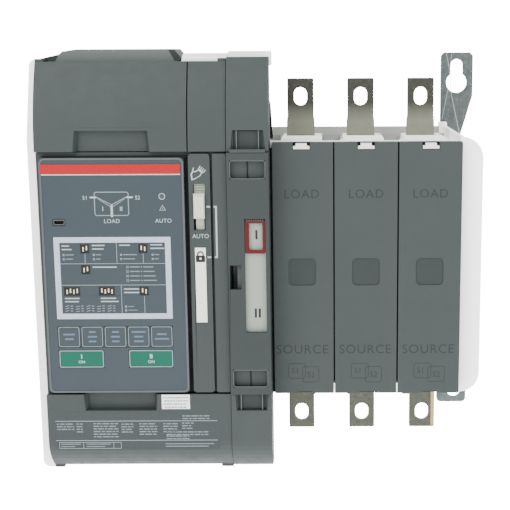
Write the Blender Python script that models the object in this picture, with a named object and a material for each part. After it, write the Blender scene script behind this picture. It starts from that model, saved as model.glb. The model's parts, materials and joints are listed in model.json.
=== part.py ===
"""Three-pole automatic transfer switch: drive unit on the left, three switching poles on the right.

All sizes below are in millimetres and are turned into metres where the meshes are made.
X runs to the right, Z up and Y towards the back. The mounting plane is Y = 0 and the
contact shaft lies at Z = 0.
"""

from math import cos, radians, sin

import bmesh
import bpy
from mathutils import Matrix, Vector

MM = 0.001
GAP = 0.3                      # clearance between neighbouring pieces

# Driving dimensions of the whole switch
DRIVE_LEFT, DRIVE_RIGHT = -159.3, -1.5
HOUSING_LEFT = -148.2          # left edge of the dark housing
COLUMN_LEFT = -20.4            # sides of the mechanism column
COLUMN_RIGHT = 7.6
BASE_DEPTH = 120.0             # depth of the light plastic bases
DRIVE_BOTTOM, DRIVE_TOP = -143.2, 144.6
DRIVE_FOOT = -145.6            # bottom of the two feet of the drive base
DRIVE_CORNER = 5.0
DRIVE_LEAN = 4.2               # how far the left wall leans in towards its top
LEAN_START = 90.0
DRIVE_CEILING = 139.5          # top of the room inside the drive base
FRONT = -145.0                 # front plane of the drive unit
COLUMN_FRONT = -148.0
SEAM = 83.5                    # height of the seams above and below the operator panel
COVER_TOP = 144.8
COVER_BOTTOM = -141.9
COVER_LIP = 2.0                # height of the corner lips at the far edge of a cover
COLUMN_COVER_TOP = 145.5
COLUMN_COVER_BOTTOM = -140.0
COVER_SWEEP = 14.0             # how far a cover curves back at its far edge
LOWER_COVER_FLAT = 0.6         # share of a lower cover's height that stays flat
RECESS_X = (-123.0, -70.8)     # finger recess of the wide covers
RECESS_DRAW_IN = 1.0
COLUMN_RECESS_X = (-18.2, 6.0)
UPPER_RECESS_END = 97.8        # far ends of the finger recesses
LOWER_RECESS_END = -95.4
COVER_WALL = 2.2
COVER_JOINT = 0.8              # width of the joint between neighbouring covers
WALL = 3.0

# Hood on the drive base, as (X, Z)
HOOD_OUTLINE = [
    (-146.5, 142.8), (-146.5, 145.0), (-134.6, 147.6), (-132.0, 149.6), (-122.5, 151.0),
    (-56.5, 151.0), (-51.9, 145.6), (-54.2, 142.8),
]
HOOD_BACK = -86.0

# Operator panel and strips
PANEL_X = (-145.7, -49.0)
PANEL_Z = (-82.4, 80.0)
PANEL_THICKNESS = 3.7
STRIP_X = (-46.0, -31.7)
PLAIN_STRIP_X = (-30.0, -20.9)
TOP_STRIP_X = (-45.9, -20.9)
KNOB_X = -39.3                 # centre line of the selector knob and the lock bar
KEY_SIZE = (14.7, 14.5)
KEY_PITCH = 15.85
KEY_TRAVEL = 0.8
GREEN_KEY_Z = (-64.4, -52.1)
GREEN_KEYS_X = ((-137.9, -107.4), (-90.0, -59.8))
DIP_TWO_WAY = (5.7, 5.9)
DIP_FOUR_WAY = (10.5, 5.7)
DIP_PLACES = (
    (-117.2, 18.7, DIP_TWO_WAY),
    (-77.9, 18.8, DIP_TWO_WAY),
    (-117.1, 4.4, DIP_TWO_WAY),
    (-78.0, -10.5, DIP_TWO_WAY),
    (-127.0, -10.7, DIP_FOUR_WAY),
    (-103.4, -10.5, DIP_FOUR_WAY),
)

# Poles
POLE_PITCH = 44.0
POLE_CENTRES = tuple(29.0 + POLE_PITCH * number for number in range(3))
POLE_BASE_X = (-1.2, 141.2)
POLE_BASE_Z = (-90.5, 90.6)
POLE_BASE_BACK = -2.5
SKIRT_RIGHT = 153.9
CHAMBER_HALF_WIDTH = 20.5
CHAMBER_Z = (-84.0, 78.0)
TRAY_FLOOR = 83.5              # floor of the sunken top of the pole base
LIP_TOP = 88.6                 # front lip of the sunken top
COLLAR_TOP = 88.0
POLE_COVER_LEFT = 9.2          # left edge of the first pole cover, beside the column
POLE_COVER_FRONT = -130.0
POLE_COVER_HALF_HEIGHT = 88.15
TERMINAL_THICKNESS = 4.0
LOAD_BAR_HALF = 10.2           # half widths of the bars
SOURCE_BAR_HALF = 8.9
SOURCE_HALF = 9.2              # half width of a source pad
CONTACT_END = -26.0            # inner end of the source bars, inside the chamber
PAD_STEP = 0.4                 # how far a connection pad stands proud of its bar
TERMINAL_OFFSET = -1.8         # terminals stand this far left of the middle of their pole
LOAD_TERMINAL_Y = -62.0        # front planes of the connection pads
SOURCE_1_TERMINAL_Y = -23.0
SOURCE_2_TERMINAL_Y = -101.0
TERMINAL_HOLE = (9.6, 13.2)
SLOT_CLEARANCE = 0.8           # round a terminal where it passes through the base

# Mechanism
SHAFT_Y = -79.5
SHAFT_RADIUS = 6.0
SHAFT_X = (-72.0, 137.9)
SHAFT_SWING = 50.0             # degrees from position I to position II
REST_TURN = SHAFT_SWING / 2    # position I, counted from the middle position
ROTOR_RADIUS = 17.0
CONTACT_REACH = 34.0
CONTACT_TIP_RADIUS = 2.8
SECTOR_RADIUS = 64.0
CRANK_RADIUS = 30.0

# Hinge axes of the covers, as (Y, Z)
HINGE_INSET = 1.5
HINGE_Y = -BASE_DEPTH - 0.8 - HINGE_INSET

COLOURS = {
    "light_plastic": ((0.760, 0.775, 0.750), 0.50, 0.0),
    "grey_plastic": ((0.138, 0.165, 0.165), 0.55, 0.0),
    "panel_plastic": ((0.115, 0.153, 0.180), 0.45, 0.0),
    "green_plastic": ((0.035, 0.275, 0.175), 0.45, 0.0),
    "black_plastic": ((0.020, 0.021, 0.022), 0.50, 0.0),
    "ivory_plastic": ((0.740, 0.740, 0.640), 0.45, 0.0),
    "white_plastic": ((0.800, 0.810, 0.800), 0.45, 0.0),
    "red_plastic": ((0.330, 0.030, 0.030), 0.40, 0.0),
    "plated_copper": ((0.300, 0.290, 0.235), 0.40, 1.0),
    "copper": ((0.640, 0.300, 0.150), 0.35, 1.0),
    "zinc_steel": ((0.300, 0.340, 0.335), 0.40, 1.0),
    "dark_steel": ((0.120, 0.125, 0.130), 0.40, 1.0),
    "board_laminate": ((0.020, 0.130, 0.050), 0.50, 0.0),
}


# ---------------------------------------------------------------- tools

def clear_scene():
    """Remove every object, so that the script can be run again in an open file."""
    for item in list(bpy.data.objects):
        bpy.data.objects.remove(item, do_unlink=True)


def make_collection(name):
    collection = bpy.data.collections.new(name)
    bpy.context.scene.collection.children.link(collection)
    return collection


def make_material(slot):
    colour, roughness, metallic = COLOURS[slot]
    material = bpy.data.materials.new(slot)
    material.use_nodes = True
    shader = material.node_tree.nodes["Principled BSDF"]
    shader.inputs["Base Color"].default_value = (*colour, 1.0)
    shader.inputs["Roughness"].default_value = roughness
    shader.inputs["Metallic"].default_value = metallic
    material.diffuse_color = (*colour, 1.0)
    return material


def box(x, y, z, radius=0.0, along="Y", segments=3):
    """A box between limits; the four edges along one axis may be rounded."""
    shape = bmesh.new()
    bmesh.ops.create_cube(shape, size=1.0)
    low = Vector((x[0], y[0], z[0]))
    high = Vector((x[1], y[1], z[1]))
    bmesh.ops.scale(shape, vec=(high - low) * MM, verts=shape.verts)
    bmesh.ops.translate(shape, vec=(low + high) / 2 * MM, verts=shape.verts)
    if radius:
        axis = "XYZ".index(along)
        edges = [e for e in shape.edges if abs(e.verts[0].co[axis] - e.verts[1].co[axis]) > 1e-6]
        bmesh.ops.bevel(
            shape, geom=edges, offset=radius * MM, segments=segments, profile=0.5, affect="EDGES"
        )
    return shape


def cylinder(along, centre, radius, span, sides=24):
    """A cylinder along one axis; centre gives the other two coordinates in X, Y, Z order."""
    axis = "XYZ".index(along)
    middle = list(centre)
    middle.insert(axis, (span[0] + span[1]) / 2)
    turn = {
        "X": Matrix.Rotation(radians(90), 4, "Y"),
        "Y": Matrix.Rotation(radians(-90), 4, "X"),
        "Z": Matrix.Identity(4),
    }[along]
    shape = bmesh.new()
    bmesh.ops.create_cone(
        shape, cap_ends=True, segments=sides, radius1=radius * MM, radius2=radius * MM,
        depth=(span[1] - span[0]) * MM, matrix=Matrix.Translation(Vector(middle) * MM) @ turn,
    )
    return shape


def prism(along, outline, span):
    """An outline, given in the other two coordinates in X, Y, Z order, extruded along an axis."""
    axis = "XYZ".index(along)
    shape = bmesh.new()
    corners = []
    for pair in outline:
        place = list(pair)
        place.insert(axis, span[0])
        corners.append(shape.verts.new(Vector(place) * MM))
    edges = [shape.edges.new((a, b)) for a, b in zip(corners, corners[1:] + corners[:1])]
    face = bmesh.ops.contextual_create(shape, geom=edges)["faces"]
    pushed = bmesh.ops.extrude_face_region(shape, geom=face, use_keep_orig=True)
    moved = [item for item in pushed["geom"] if isinstance(item, bmesh.types.BMVert)]
    offset = Vector((0.0, 0.0, 0.0))
    offset[axis] = (span[1] - span[0]) * MM
    bmesh.ops.translate(shape, vec=offset, verts=moved)
    bmesh.ops.recalc_face_normals(shape, faces=shape.faces)
    return shape


def arc(centre, radius, start, end, steps=6):
    """Points along an arc between two angles in degrees."""
    angles = [radians(start + (end - start) * step / steps) for step in range(steps + 1)]
    return [(centre[0] + radius * cos(a), centre[1] + radius * sin(a)) for a in angles]


def turned(shape, degrees, axis_y=SHAFT_Y, axis_z=0.0):
    """The shape turned about a line along X."""
    bmesh.ops.rotate(
        shape, cent=Vector((0.0, axis_y, axis_z)) * MM,
        matrix=Matrix.Rotation(radians(degrees), 3, "X"), verts=shape.verts,
    )
    return shape


def as_mesh(name, shapes):
    """One mesh from several shapes."""
    mesh = bpy.data.meshes.new(name)
    together = bmesh.new()
    for shape in shapes:
        shape.to_mesh(mesh)
        shape.free()
        together.from_mesh(mesh)
    together.to_mesh(mesh)
    together.free()
    return mesh


def place(name, mesh, origin, collection):
    """An object for the mesh, with its origin at a point given in millimetres."""
    origin = Vector(origin) * MM
    mesh.transform(Matrix.Translation(-origin))
    item = bpy.data.objects.new(name, mesh)
    item.location = origin
    collection.objects.link(item)
    return item


def centre_of(mesh):
    corners = [vertex.co for vertex in mesh.vertices]
    low = Vector(min(co[i] for co in corners) for i in range(3))
    high = Vector(max(co[i] for co in corners) for i in range(3))
    return (low + high) / 2 / MM


def part(name, slot, shape, origin=None):
    """A named piece of the switch; a moving piece gives the point on its joint's axis."""
    mesh = as_mesh(name, [shape])
    mesh.materials.append(materials[slot])
    item = place(name, mesh, centre_of(mesh) if origin is None else origin, parts)
    return item


def boolean(item, shapes, operation):
    """Cut the shapes from a piece or join them to it; shapes in one call stay clear of each other."""
    number = len(item.modifiers) + 1
    name = f"{item.name}_tool_{number}"
    mesh = as_mesh(name, shapes)
    tool = place(name, mesh, centre_of(mesh), cutters)
    tool.hide_render = True
    tool.display_type = "WIRE"
    modifier = item.modifiers.new(name, "BOOLEAN")
    modifier.operation = operation
    modifier.solver = "EXACT"
    modifier.object = tool


def cut(item, *shapes):
    boolean(item, shapes, "DIFFERENCE")


def join(item, *shapes):
    boolean(item, shapes, "UNION")


def smooth(item, degrees=35):
    item.data.shade_smooth()
    item.data.set_sharp_from_angle(angle=radians(degrees))


# ---------------------------------------------------------------- drive unit

def make_drive_base():
    """Open-fronted tub whose left wall shows beside the housing, with raised blocks on its top."""
    corner = DRIVE_CORNER
    high = DRIVE_TOP - corner
    right = DRIVE_RIGHT - corner
    outline = arc((DRIVE_LEFT + DRIVE_LEAN + corner, high), corner, 90, 180)
    outline += [(DRIVE_LEFT, LEAN_START)]
    outline += arc((DRIVE_LEFT + corner, DRIVE_FOOT + corner), corner, 180, 270)
    outline += [(-143.6, DRIVE_FOOT), (-143.6, DRIVE_BOTTOM)]
    outline += [(-30.0, DRIVE_BOTTOM), (-30.0, DRIVE_FOOT), (-22.0, DRIVE_FOOT), (-22.0, DRIVE_BOTTOM)]
    outline += arc((right, DRIVE_BOTTOM + corner), corner, 270, 360)
    outline += arc((right, high), corner, 0, 90)
    base = part("drive_base", "light_plastic", prism("Y", outline, (-BASE_DEPTH, 0)))
    join(
        base,
        box((-51.3, -21.0), (-119.0, -60.0), (DRIVE_CEILING, 148.0), radius=2),
        box((COLUMN_LEFT, 8.2), (-119.9, -98.0), (DRIVE_CEILING, 149.4), radius=1),
        box((DRIVE_RIGHT - 6.0, 12.0), (-2.2, 0), (-60, 60)),
    )
    rim = BASE_DEPTH - 4
    cut(base, box(
        (DRIVE_LEFT + DRIVE_LEAN + WALL, DRIVE_RIGHT - WALL), (-rim, -4),
        (DRIVE_BOTTOM + WALL, DRIVE_CEILING), radius=4,
    ))
    cut(base, box((-143.0, DRIVE_RIGHT - WALL), (-BASE_DEPTH - 1, -rim + 1), (-135.0, 135.0)))
    cut(base, cylinder("X", (SHAFT_Y, 0), SHAFT_RADIUS + 1, (DRIVE_RIGHT - 2 * WALL, DRIVE_RIGHT + 1)))
    hood_x = [x for x, _ in HOOD_OUTLINE]
    seat_x = (min(hood_x) - GAP, max(hood_x) + GAP)
    cut(base, box(seat_x, (-BASE_DEPTH - 1, HOOD_BACK + GAP), (HOOD_OUTLINE[0][1] - GAP, DRIVE_TOP + 1)))


def make_top_hood():
    """Hood with sloping ends, let into the top of the drive base."""
    part("top_hood", "grey_plastic", prism("Y", HOOD_OUTLINE, (-BASE_DEPTH, HOOD_BACK)))


def make_drive_housing():
    """Front frame with a thick middle for the panel and thin floors behind both covers."""
    back = -BASE_DEPTH - GAP
    plate = FRONT + PANEL_THICKNESS + GAP
    housing = part(
        "drive_housing", "grey_plastic",
        box((HOUSING_LEFT, COLUMN_LEFT - GAP), (plate, back), (-SEAM + GAP, SEAM - GAP)),
    )
    floor = (-124.0, back)
    inset = COVER_WALL + 0.6
    right = COLUMN_LEFT - GAP - inset
    join(
        housing,
        box((HOUSING_LEFT + inset, TOP_STRIP_X[0] - COVER_JOINT - inset), floor, (SEAM - 4, 137.4)),
        box((TOP_STRIP_X[0] + inset, right), floor, (SEAM - 4, 137.4)),
        box((HOUSING_LEFT + inset, right), floor, (-136.2, -SEAM + 4)),
    )
    cut(housing, box(
        (HOUSING_LEFT + WALL, COLUMN_LEFT - GAP - WALL), (plate + WALL, back + 1),
        (-SEAM + WALL, SEAM - WALL),
    ))
    cut(
        housing,
        box((-139.5, -53.0), (plate - 1, plate + WALL + 1), (-76, 76)),
        box((KNOB_X - 4.3, KNOB_X + 4.3), (plate - 1, plate + WALL + 1), (-33.1, 76.0)),
    )


def cover_outline(far_edge, front, inset=0.0, past_seam=0.0):
    """Side outline of a cover as (Y, Z): flat at the seam, curving back to its far edge."""
    side = 1 if far_edge > 0 else -1
    flat = 0.0 if far_edge > 0 else LOWER_COVER_FLAT
    near = SEAM + GAP - past_seam
    far = abs(far_edge) - inset
    steps = 15
    outline = []
    for step in range(steps + 1):
        share = step / steps
        bend = max(0.0, share - flat) / (1 - flat)
        outline.append((front + inset + COVER_SWEEP * bend ** 2, side * (near + (far - near) * share)))
    back = -BASE_DEPTH - 0.8 + past_seam
    outline.append((back, side * far))
    outline.append((back, side * near))
    return outline


def recess_mouth(x, front, end, draw_in):
    """Cutter for a finger recess with sloping sides, a little narrower at its far end."""
    slope, depth = 3.0, 5.4
    outline = [
        (x[0], front - 1), (x[0] + slope, front + depth), (x[1] - slope, front + depth), (x[1], front - 1),
    ]
    near = SEAM - 1 if end > 0 else 1 - SEAM
    mouth = prism("Z", outline, sorted((near, end)))
    middle = (x[0] + x[1]) / 2 * MM
    for vertex in mouth.verts:
        if abs(vertex.co.z - end * MM) < 1e-6:
            vertex.co.x += draw_in * MM if vertex.co.x < middle else -draw_in * MM
    return mouth


def make_cover(name, x, far_edge, front, recess_x=None, lips=()):
    """Curved shell, open at its back and at the seam, with a finger recess in its near edge."""
    side = 1 if far_edge > 0 else -1
    edge = far_edge - side * COVER_LIP if lips else far_edge
    hinge = ((x[0] + x[1]) / 2, HINGE_Y, far_edge - side * HINGE_INSET)
    cover = part(name, "grey_plastic", prism("X", cover_outline(edge, front), x), hinge)
    for lip_x in lips:
        low, high = sorted((edge - side, far_edge))
        lip_front = front + COVER_SWEEP + 0.4
        join(cover, box(lip_x, (lip_front, -BASE_DEPTH - 0.8), (low, high), radius=0.6))
    inner_x = (x[0] + COVER_WALL, x[1] - COVER_WALL)
    cut(cover, prism("X", cover_outline(edge, front, COVER_WALL, past_seam=2.0), inner_x))
    if recess_x:
        end = UPPER_RECESS_END if side > 0 else LOWER_RECESS_END
        near, far = sorted((side * (SEAM + GAP), end + side * COVER_WALL))
        pan_x = (max(recess_x[0] - 1.5, x[0] + 1), min(recess_x[1] + 1.5, x[1] - 1))
        join(cover, box(pan_x, (front + 1.0, front + 7.2), (near, far)))
        cut(cover, recess_mouth(recess_x, front, end, RECESS_DRAW_IN))


def make_covers():
    left = (HOUSING_LEFT, TOP_STRIP_X[0] - COVER_JOINT)
    lower = (HOUSING_LEFT, COLUMN_LEFT - GAP)
    column = (COLUMN_LEFT, COLUMN_RIGHT)
    make_cover("top_cover", left, COVER_TOP, FRONT, RECESS_X, lips=[(left[0], left[0] + 5.5)])
    make_cover(
        "top_strip", TOP_STRIP_X, COVER_TOP, FRONT, lips=[(TOP_STRIP_X[1] - 5.5, TOP_STRIP_X[1])],
    )
    make_cover(
        "bottom_cover", lower, COVER_BOTTOM, FRONT, RECESS_X,
        lips=[(lower[0], lower[0] + 6.7), (lower[1] - 8.8, lower[1])],
    )
    make_cover("column_top_cover", column, COLUMN_COVER_TOP, FRONT - 1, COLUMN_RECESS_X)
    make_cover("column_bottom_cover", column, COLUMN_COVER_BOTTOM, FRONT - 1, COLUMN_RECESS_X)


def key_places():
    """Centre and size of each key: five square keys in a row, then two wide green ones."""
    row_z = -42.6
    first_x = -98.8 - 2 * KEY_PITCH
    keys = [(f"key_{n + 1}", first_x + n * KEY_PITCH, row_z, *KEY_SIZE) for n in range(5)]
    low, high = GREEN_KEY_Z
    for number, (left, right) in enumerate(GREEN_KEYS_X, start=1):
        keys.append((
            f"source_key_{number}", (left + right) / 2, (low + high) / 2, right - left, high - low,
        ))
    return keys


def opening(x, z, width, height, margin, depth=(FRONT - 1, FRONT + PANEL_THICKNESS + 1)):
    half_width = width / 2 + margin
    half_height = height / 2 + margin
    return box((x - half_width, x + half_width), depth, (z - half_height, z + half_height))


def make_panel():
    """Operator panel with its keys, DIP switches and USB port, and the board behind them."""
    back = FRONT + PANEL_THICKNESS
    panel = part("operator_panel", "panel_plastic", box(PANEL_X, (FRONT, back), PANEL_Z, radius=2.5))
    usb_x, usb_z = -133.8, 36.6
    holes = [opening(x, z, width, height, GAP) for _, x, z, width, height in key_places()]
    holes += [opening(x, z, *size, GAP) for x, z, size in DIP_PLACES]
    holes.append(opening(usb_x, usb_z, 8.0, 3.9, 0.0))
    cut(panel, *holes)

    board_front = back + GAP + WALL + GAP
    part(
        "controller_board", "board_laminate",
        box((-142.0, -51.0), (board_front, board_front + 1.6), (-78.0, 78.0)),
    )
    key_back = board_front - KEY_TRAVEL - 0.2
    for name, x, z, width, height in key_places():
        slot = "green_plastic" if name.startswith("source") else "panel_plastic"
        cap = opening(x, z, width, height, 0.0, (FRONT + 0.2, key_back))
        part(name, slot, cap, (x, FRONT + 0.2, z))
    for number, (x, z, size) in enumerate(DIP_PLACES, start=1):
        block = opening(x, z, *size, 0.0, (FRONT + 0.5, board_front - GAP))
        part(f"dip_switch_{number}", "black_plastic", block)
    port = part(
        "usb_port", "dark_steel",
        opening(usb_x, usb_z, 7.4, 3.3, 0.0, (FRONT + 0.4, board_front - GAP)),
    )
    cut(port, opening(usb_x, usb_z, 6.4, 2.3, 0.0, (FRONT - 1, FRONT + 5)))


def make_selector():
    """Strip with the mode selector knob and the padlock bar, and the plain strip beside it."""
    back = FRONT + PANEL_THICKNESS
    strip = part("selector_strip", "grey_plastic", box(STRIP_X, (FRONT, back), (-82.4, 82.4), radius=2))
    knob_slot = (31.0, 62.2)
    cut(
        strip,
        box((KNOB_X - 3.95, KNOB_X + 3.95), (FRONT - 1, back + 1), knob_slot),
        box((KNOB_X - 3.95, KNOB_X + 3.95), (FRONT - 1, back + 1), (-33.1, 19.3)),
    )
    knob = part(
        "selector_knob", "ivory_plastic",
        box((KNOB_X - 3.65, KNOB_X + 3.65), (FRONT - 1.6, FRONT + 6.6), (39.1, 55.8)),
        (KNOB_X, FRONT, 47.4),
    )
    slider_y = (back + GAP, back + GAP + 2.6)
    join(
        knob,
        box((KNOB_X - 3.1, KNOB_X + 3.1), (FRONT - 2.6, FRONT - 0.6), (40.6, 54.3)),
        box((KNOB_X - 2.8, KNOB_X + 2.8), slider_y, (25.6, 41.0)),
        box((KNOB_X - 3.65, KNOB_X + 3.65), slider_y, (54.0, 68.2)),
    )
    bar = part(
        "lock_bar", "white_plastic",
        box((KNOB_X - 3.65, KNOB_X + 3.65), (FRONT + 0.3, -118.0), (-32.8, 19.0)),
        (KNOB_X, FRONT + 0.3, -6.9),
    )
    cut(bar, box((KNOB_X - 5, KNOB_X + 5), (-138.0, -129.5), (-14.0, 0.0), radius=3, along="X"))
    part("plain_strip", "grey_plastic", box(PLAIN_STRIP_X, (FRONT, back), (-82.4, 82.4), radius=1))


def make_column():
    """Mechanism column: finger pockets, handle socket and the position indicator."""
    column = part(
        "column_housing", "grey_plastic",
        box((COLUMN_LEFT, COLUMN_RIGHT), (COLUMN_FRONT, -BASE_DEPTH - GAP), (-SEAM + GAP, SEAM - GAP)),
    )
    room_front = COLUMN_FRONT + WALL
    room_x = (COLUMN_LEFT + 1.2, COLUMN_RIGHT - 1.2)
    cut(column, box(room_x, (room_front, -BASE_DEPTH + 1), (-62, 62)))
    mouth = (COLUMN_FRONT - 1, room_front + 1)
    frame_x, frame_z = (-8.9, 4.8), (15.3, 38.5)
    cut(
        column,
        box((-19.4, -11.6), mouth, (-9.3, 7.3)),
        box((frame_x[0] - 0.2, frame_x[1] + 0.2), mouth, (-39.3, 38.8)),
    )
    for low, high in ((65.6, 78.1), (-78.1, -65.6)):
        cut(column, box((-18.5, 5.5), (COLUMN_FRONT - 1, COLUMN_FRONT + 8), (low, high)))

    strip_front = room_front + GAP
    part(
        "indicator_strip", "ivory_plastic",
        box((-9.6, 5.6), (strip_front, strip_front + 1.5), (-41.0, 40.6)),
    )
    frame = part(
        "indicator_frame", "red_plastic",
        box(frame_x, (COLUMN_FRONT + 0.5, room_front - GAP), frame_z, radius=1, segments=2),
        ((frame_x[0] + frame_x[1]) / 2, COLUMN_FRONT + 0.5, (frame_z[0] + frame_z[1]) / 2),
    )
    cut(frame, box(
        (frame_x[0] + 2.8, frame_x[1] - 1.9), (COLUMN_FRONT - 1, room_front + 1),
        (frame_z[0] + 2.2, frame_z[1] - 2.6),
    ))


def make_inner_modules():
    """Supply module and control terminals, each in the compartment behind a cover."""
    floor = -124.0 - GAP
    part("supply_module", "black_plastic", box((-136.0, -62.0), (-133.0, floor), (101.0, 126.0), radius=2))
    terminals = part(
        "control_terminals", "light_plastic",
        box((-136.0, -42.0), (-136.0, floor), (-118.0, -102.0)),
    )
    ways = 12
    pitch = 7.4
    first = -89.0 - pitch * (ways - 1) / 2
    cut(terminals, *[
        box((first + n * pitch - 1.8, first + n * pitch + 1.8), (-137, -128), (-116.0, -112.4))
        for n in range(ways)
    ])


# ---------------------------------------------------------------- mechanism

def make_solenoid():
    """Pull coil in the drive base, and its plunger with the slotted block round the crank pin."""
    axis_x, axis_y = -77.0, -50.0
    coil = part("solenoid_coil", "copper", box(
        (-97.0, -57.0), (-72.0, -28.0), (-114.0, -40.0), radius=4, along="Z",
    ))
    cut(coil, cylinder("Z", (axis_x, axis_y), 9.6, (-115.0, -39.0)))
    pin_height = CRANK_RADIUS * sin(radians(REST_TURN))
    plunger = part(
        "solenoid_plunger", "dark_steel", cylinder("Z", (axis_x, axis_y), 9.0, (-106.0, 0.0)),
        (axis_x, axis_y, pin_height),
    )
    join(plunger, box((-87.0, -67.0), (-62.0, -39.0), (pin_height - 13.5, pin_height + 8.0)))
    cut(plunger, box((-88.0, -66.0), (-56.4, -45.4), (pin_height - 3.6, pin_height + 3.6)))
    smooth(plunger)


def make_shaft():
    """Contact shaft with its crank, the drive sector behind the handle socket and the rotors."""
    centre = (SHAFT_Y, 0.0)
    shaft = part(
        "contact_shaft", "dark_steel", cylinder("X", centre, SHAFT_RADIUS, SHAFT_X), (0, SHAFT_Y, 0),
    )
    smooth(shaft)
    bore = SHAFT_RADIUS + GAP

    crank = part("drive_crank", "zinc_steel", cylinder("X", centre, 11.0, (-64.0, -57.0)), (-60, SHAFT_Y, 0))
    arm_end = SHAFT_Y + CRANK_RADIUS
    join(crank, turned(box((-63.0, -58.0), (SHAFT_Y, arm_end + 5), (-5, 5), radius=4, along="X"), REST_TURN))
    join(crank, turned(cylinder("X", (arm_end, 0.0), 3.0, (-85.0, -60.0), 16), REST_TURN))
    cut(crank, cylinder("X", centre, bore, (-70.0, -50.0)))
    smooth(crank)

    sector_x = (-14.6, -11.0)
    sector = part(
        "drive_sector", "zinc_steel", cylinder("X", centre, SECTOR_RADIUS, sector_x, 96),
        (-12.8, SHAFT_Y, 0),
    )
    past = (sector_x[0] - 1, sector_x[1] + 1)
    back_cut = box(past, (SHAFT_Y + 12, SHAFT_Y + 70), (-70, 70))
    cut(sector, turned(back_cut, REST_TURN))
    half_angle = 34.0
    for side in (1, -1):
        flank = box(past, (SHAFT_Y - 90, SHAFT_Y + 90), sorted((side * 12, side * 90)))
        cut(sector, turned(flank, REST_TURN - side * half_angle))
    smooth(sector)
    cut(sector, cylinder("X", centre, bore, past))

    for number, x in enumerate(POLE_CENTRES, start=1):
        contact = part(
            f"moving_contact_{number}", "copper", cylinder("X", centre, ROTOR_RADIUS, (x - 6, x + 6), 32),
            (x, SHAFT_Y, 0),
        )
        tip_z = -CONTACT_REACH
        arm = box((x - 5, x + 5), (SHAFT_Y - 2, SHAFT_Y + 2), (tip_z, -10.0))
        join(contact, turned(arm, REST_TURN))
        tip = cylinder("X", (SHAFT_Y, tip_z), CONTACT_TIP_RADIUS, (x - 7, x + 7), 16)
        join(contact, turned(tip, REST_TURN))
        cut(contact, cylinder("X", centre, bore, (x - 20, x + 20)))
        smooth(contact)


# ---------------------------------------------------------------- poles

def terminal_slots(x):
    """Cutters for the slots through which the three terminals of a pole leave the base."""
    middle = x + TERMINAL_OFFSET
    top, bottom = (CHAMBER_Z[1] - 1, POLE_BASE_Z[1] + 3), (POLE_BASE_Z[0] - 1, CHAMBER_Z[0] + 1)
    slots = []
    for front, half_width, height in (
        (LOAD_TERMINAL_Y, LOAD_BAR_HALF, top),
        (SOURCE_1_TERMINAL_Y, SOURCE_HALF, bottom),
        (SOURCE_2_TERMINAL_Y, SOURCE_HALF, bottom),
    ):
        reach = half_width + SLOT_CLEARANCE
        depth = (front - SLOT_CLEARANCE, front + TERMINAL_THICKNESS + SLOT_CLEARANCE)
        slots.append(box((middle - reach, middle + reach), depth, height))
    return slots


def make_pole_base():
    """Base of the three poles: a chamber for each, a sunken top with collars, a skirt on the right."""
    left, right = POLE_BASE_X
    bottom, top = POLE_BASE_Z
    base = part(
        "pole_base", "light_plastic", box((left, right), (-BASE_DEPTH, POLE_BASE_BACK), (bottom, top)),
    )
    corner = 14.0
    skirt = [(right - WALL, bottom)]
    skirt += arc((SKIRT_RIGHT - corner, bottom + corner), corner, -90, 0)
    skirt += arc((SKIRT_RIGHT - corner, top - corner), corner, 0, 90)
    skirt.append((right - WALL, top))
    join(base, prism("Y", skirt, (-BASE_DEPTH, -BASE_DEPTH + 6.0)))
    cut(base, *[
        box((x - CHAMBER_HALF_WIDTH, x + CHAMBER_HALF_WIDTH), (-BASE_DEPTH - 1, -8.0), CHAMBER_Z)
        for x in POLE_CENTRES
    ])
    cut(base, box((4.0, right - WALL), (-116.5, -8.0), (TRAY_FLOOR, top + 1)))
    cut(base, box((4.0, right - WALL), (-BASE_DEPTH - 1, -116.0), (LIP_TOP, top + 1)))
    join(base, *[
        box((x - 14.7, x + 13.9), (-91.0, -42.0), (TRAY_FLOOR - 1, COLLAR_TOP)) for x in POLE_CENTRES
    ])
    join(base, box((right - 7.0, right - 1.0), (-12.0, POLE_BASE_BACK), (TRAY_FLOOR + 2, top + 3.4)))
    for x in POLE_CENTRES:
        cut(base, *terminal_slots(x))
    cut(base, *[
        box((x - 10.0, x + 10.0), (-113.0, -95.0), (CHAMBER_Z[1] - 1, TRAY_FLOOR + 1)) for x in POLE_CENTRES
    ])
    cut(base, cylinder("X", (SHAFT_Y, 0), SHAFT_RADIUS + 1, (left - 1, SHAFT_X[1] + 0.5)))


def make_pole_covers():
    """Three caps over the chambers, each with a square recess and a clip in its top edge."""
    back = -BASE_DEPTH - GAP
    half_height = POLE_COVER_HALF_HEIGHT
    for number, x in enumerate(POLE_CENTRES, start=1):
        left = max(x - 21.5, POLE_COVER_LEFT)
        right = x + 21.5
        cover = part(
            f"pole_cover_{number}", "grey_plastic",
            box((left, right), (POLE_COVER_FRONT, back), (-half_height, half_height)),
        )
        cut(cover, box(
            (left + 2.5, right - 2.5), (POLE_COVER_FRONT + 2.5, back + 1),
            (-half_height + 2.5, half_height - 6.5),
        ))
        recess = box(
            (x - 9.5, x + 9.5), (POLE_COVER_FRONT - 1, POLE_COVER_FRONT + 0.6), (-10.5, 8.5), radius=3,
        )
        clip_seat = box((x - 5.9, x + 5.9), (POLE_COVER_FRONT - 1, -124.0), (83.5, half_height + 1))
        notch = box(
            (x - 4.4, x + 6.6), (POLE_COVER_FRONT - 1, -126.5), (-half_height - 1, -half_height + 1.6),
        )
        cut(cover, recess, clip_seat, notch)
        clip_y = (POLE_COVER_FRONT - 0.2, -124.3)
        clip = part(f"cover_clip_{number}", "white_plastic", box((x - 5.5, x + 5.5), clip_y, (83.9, 85.8)))
        join(clip, box((x - 3.7, x + 3.7), clip_y, (85.0, 87.6)))


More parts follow.
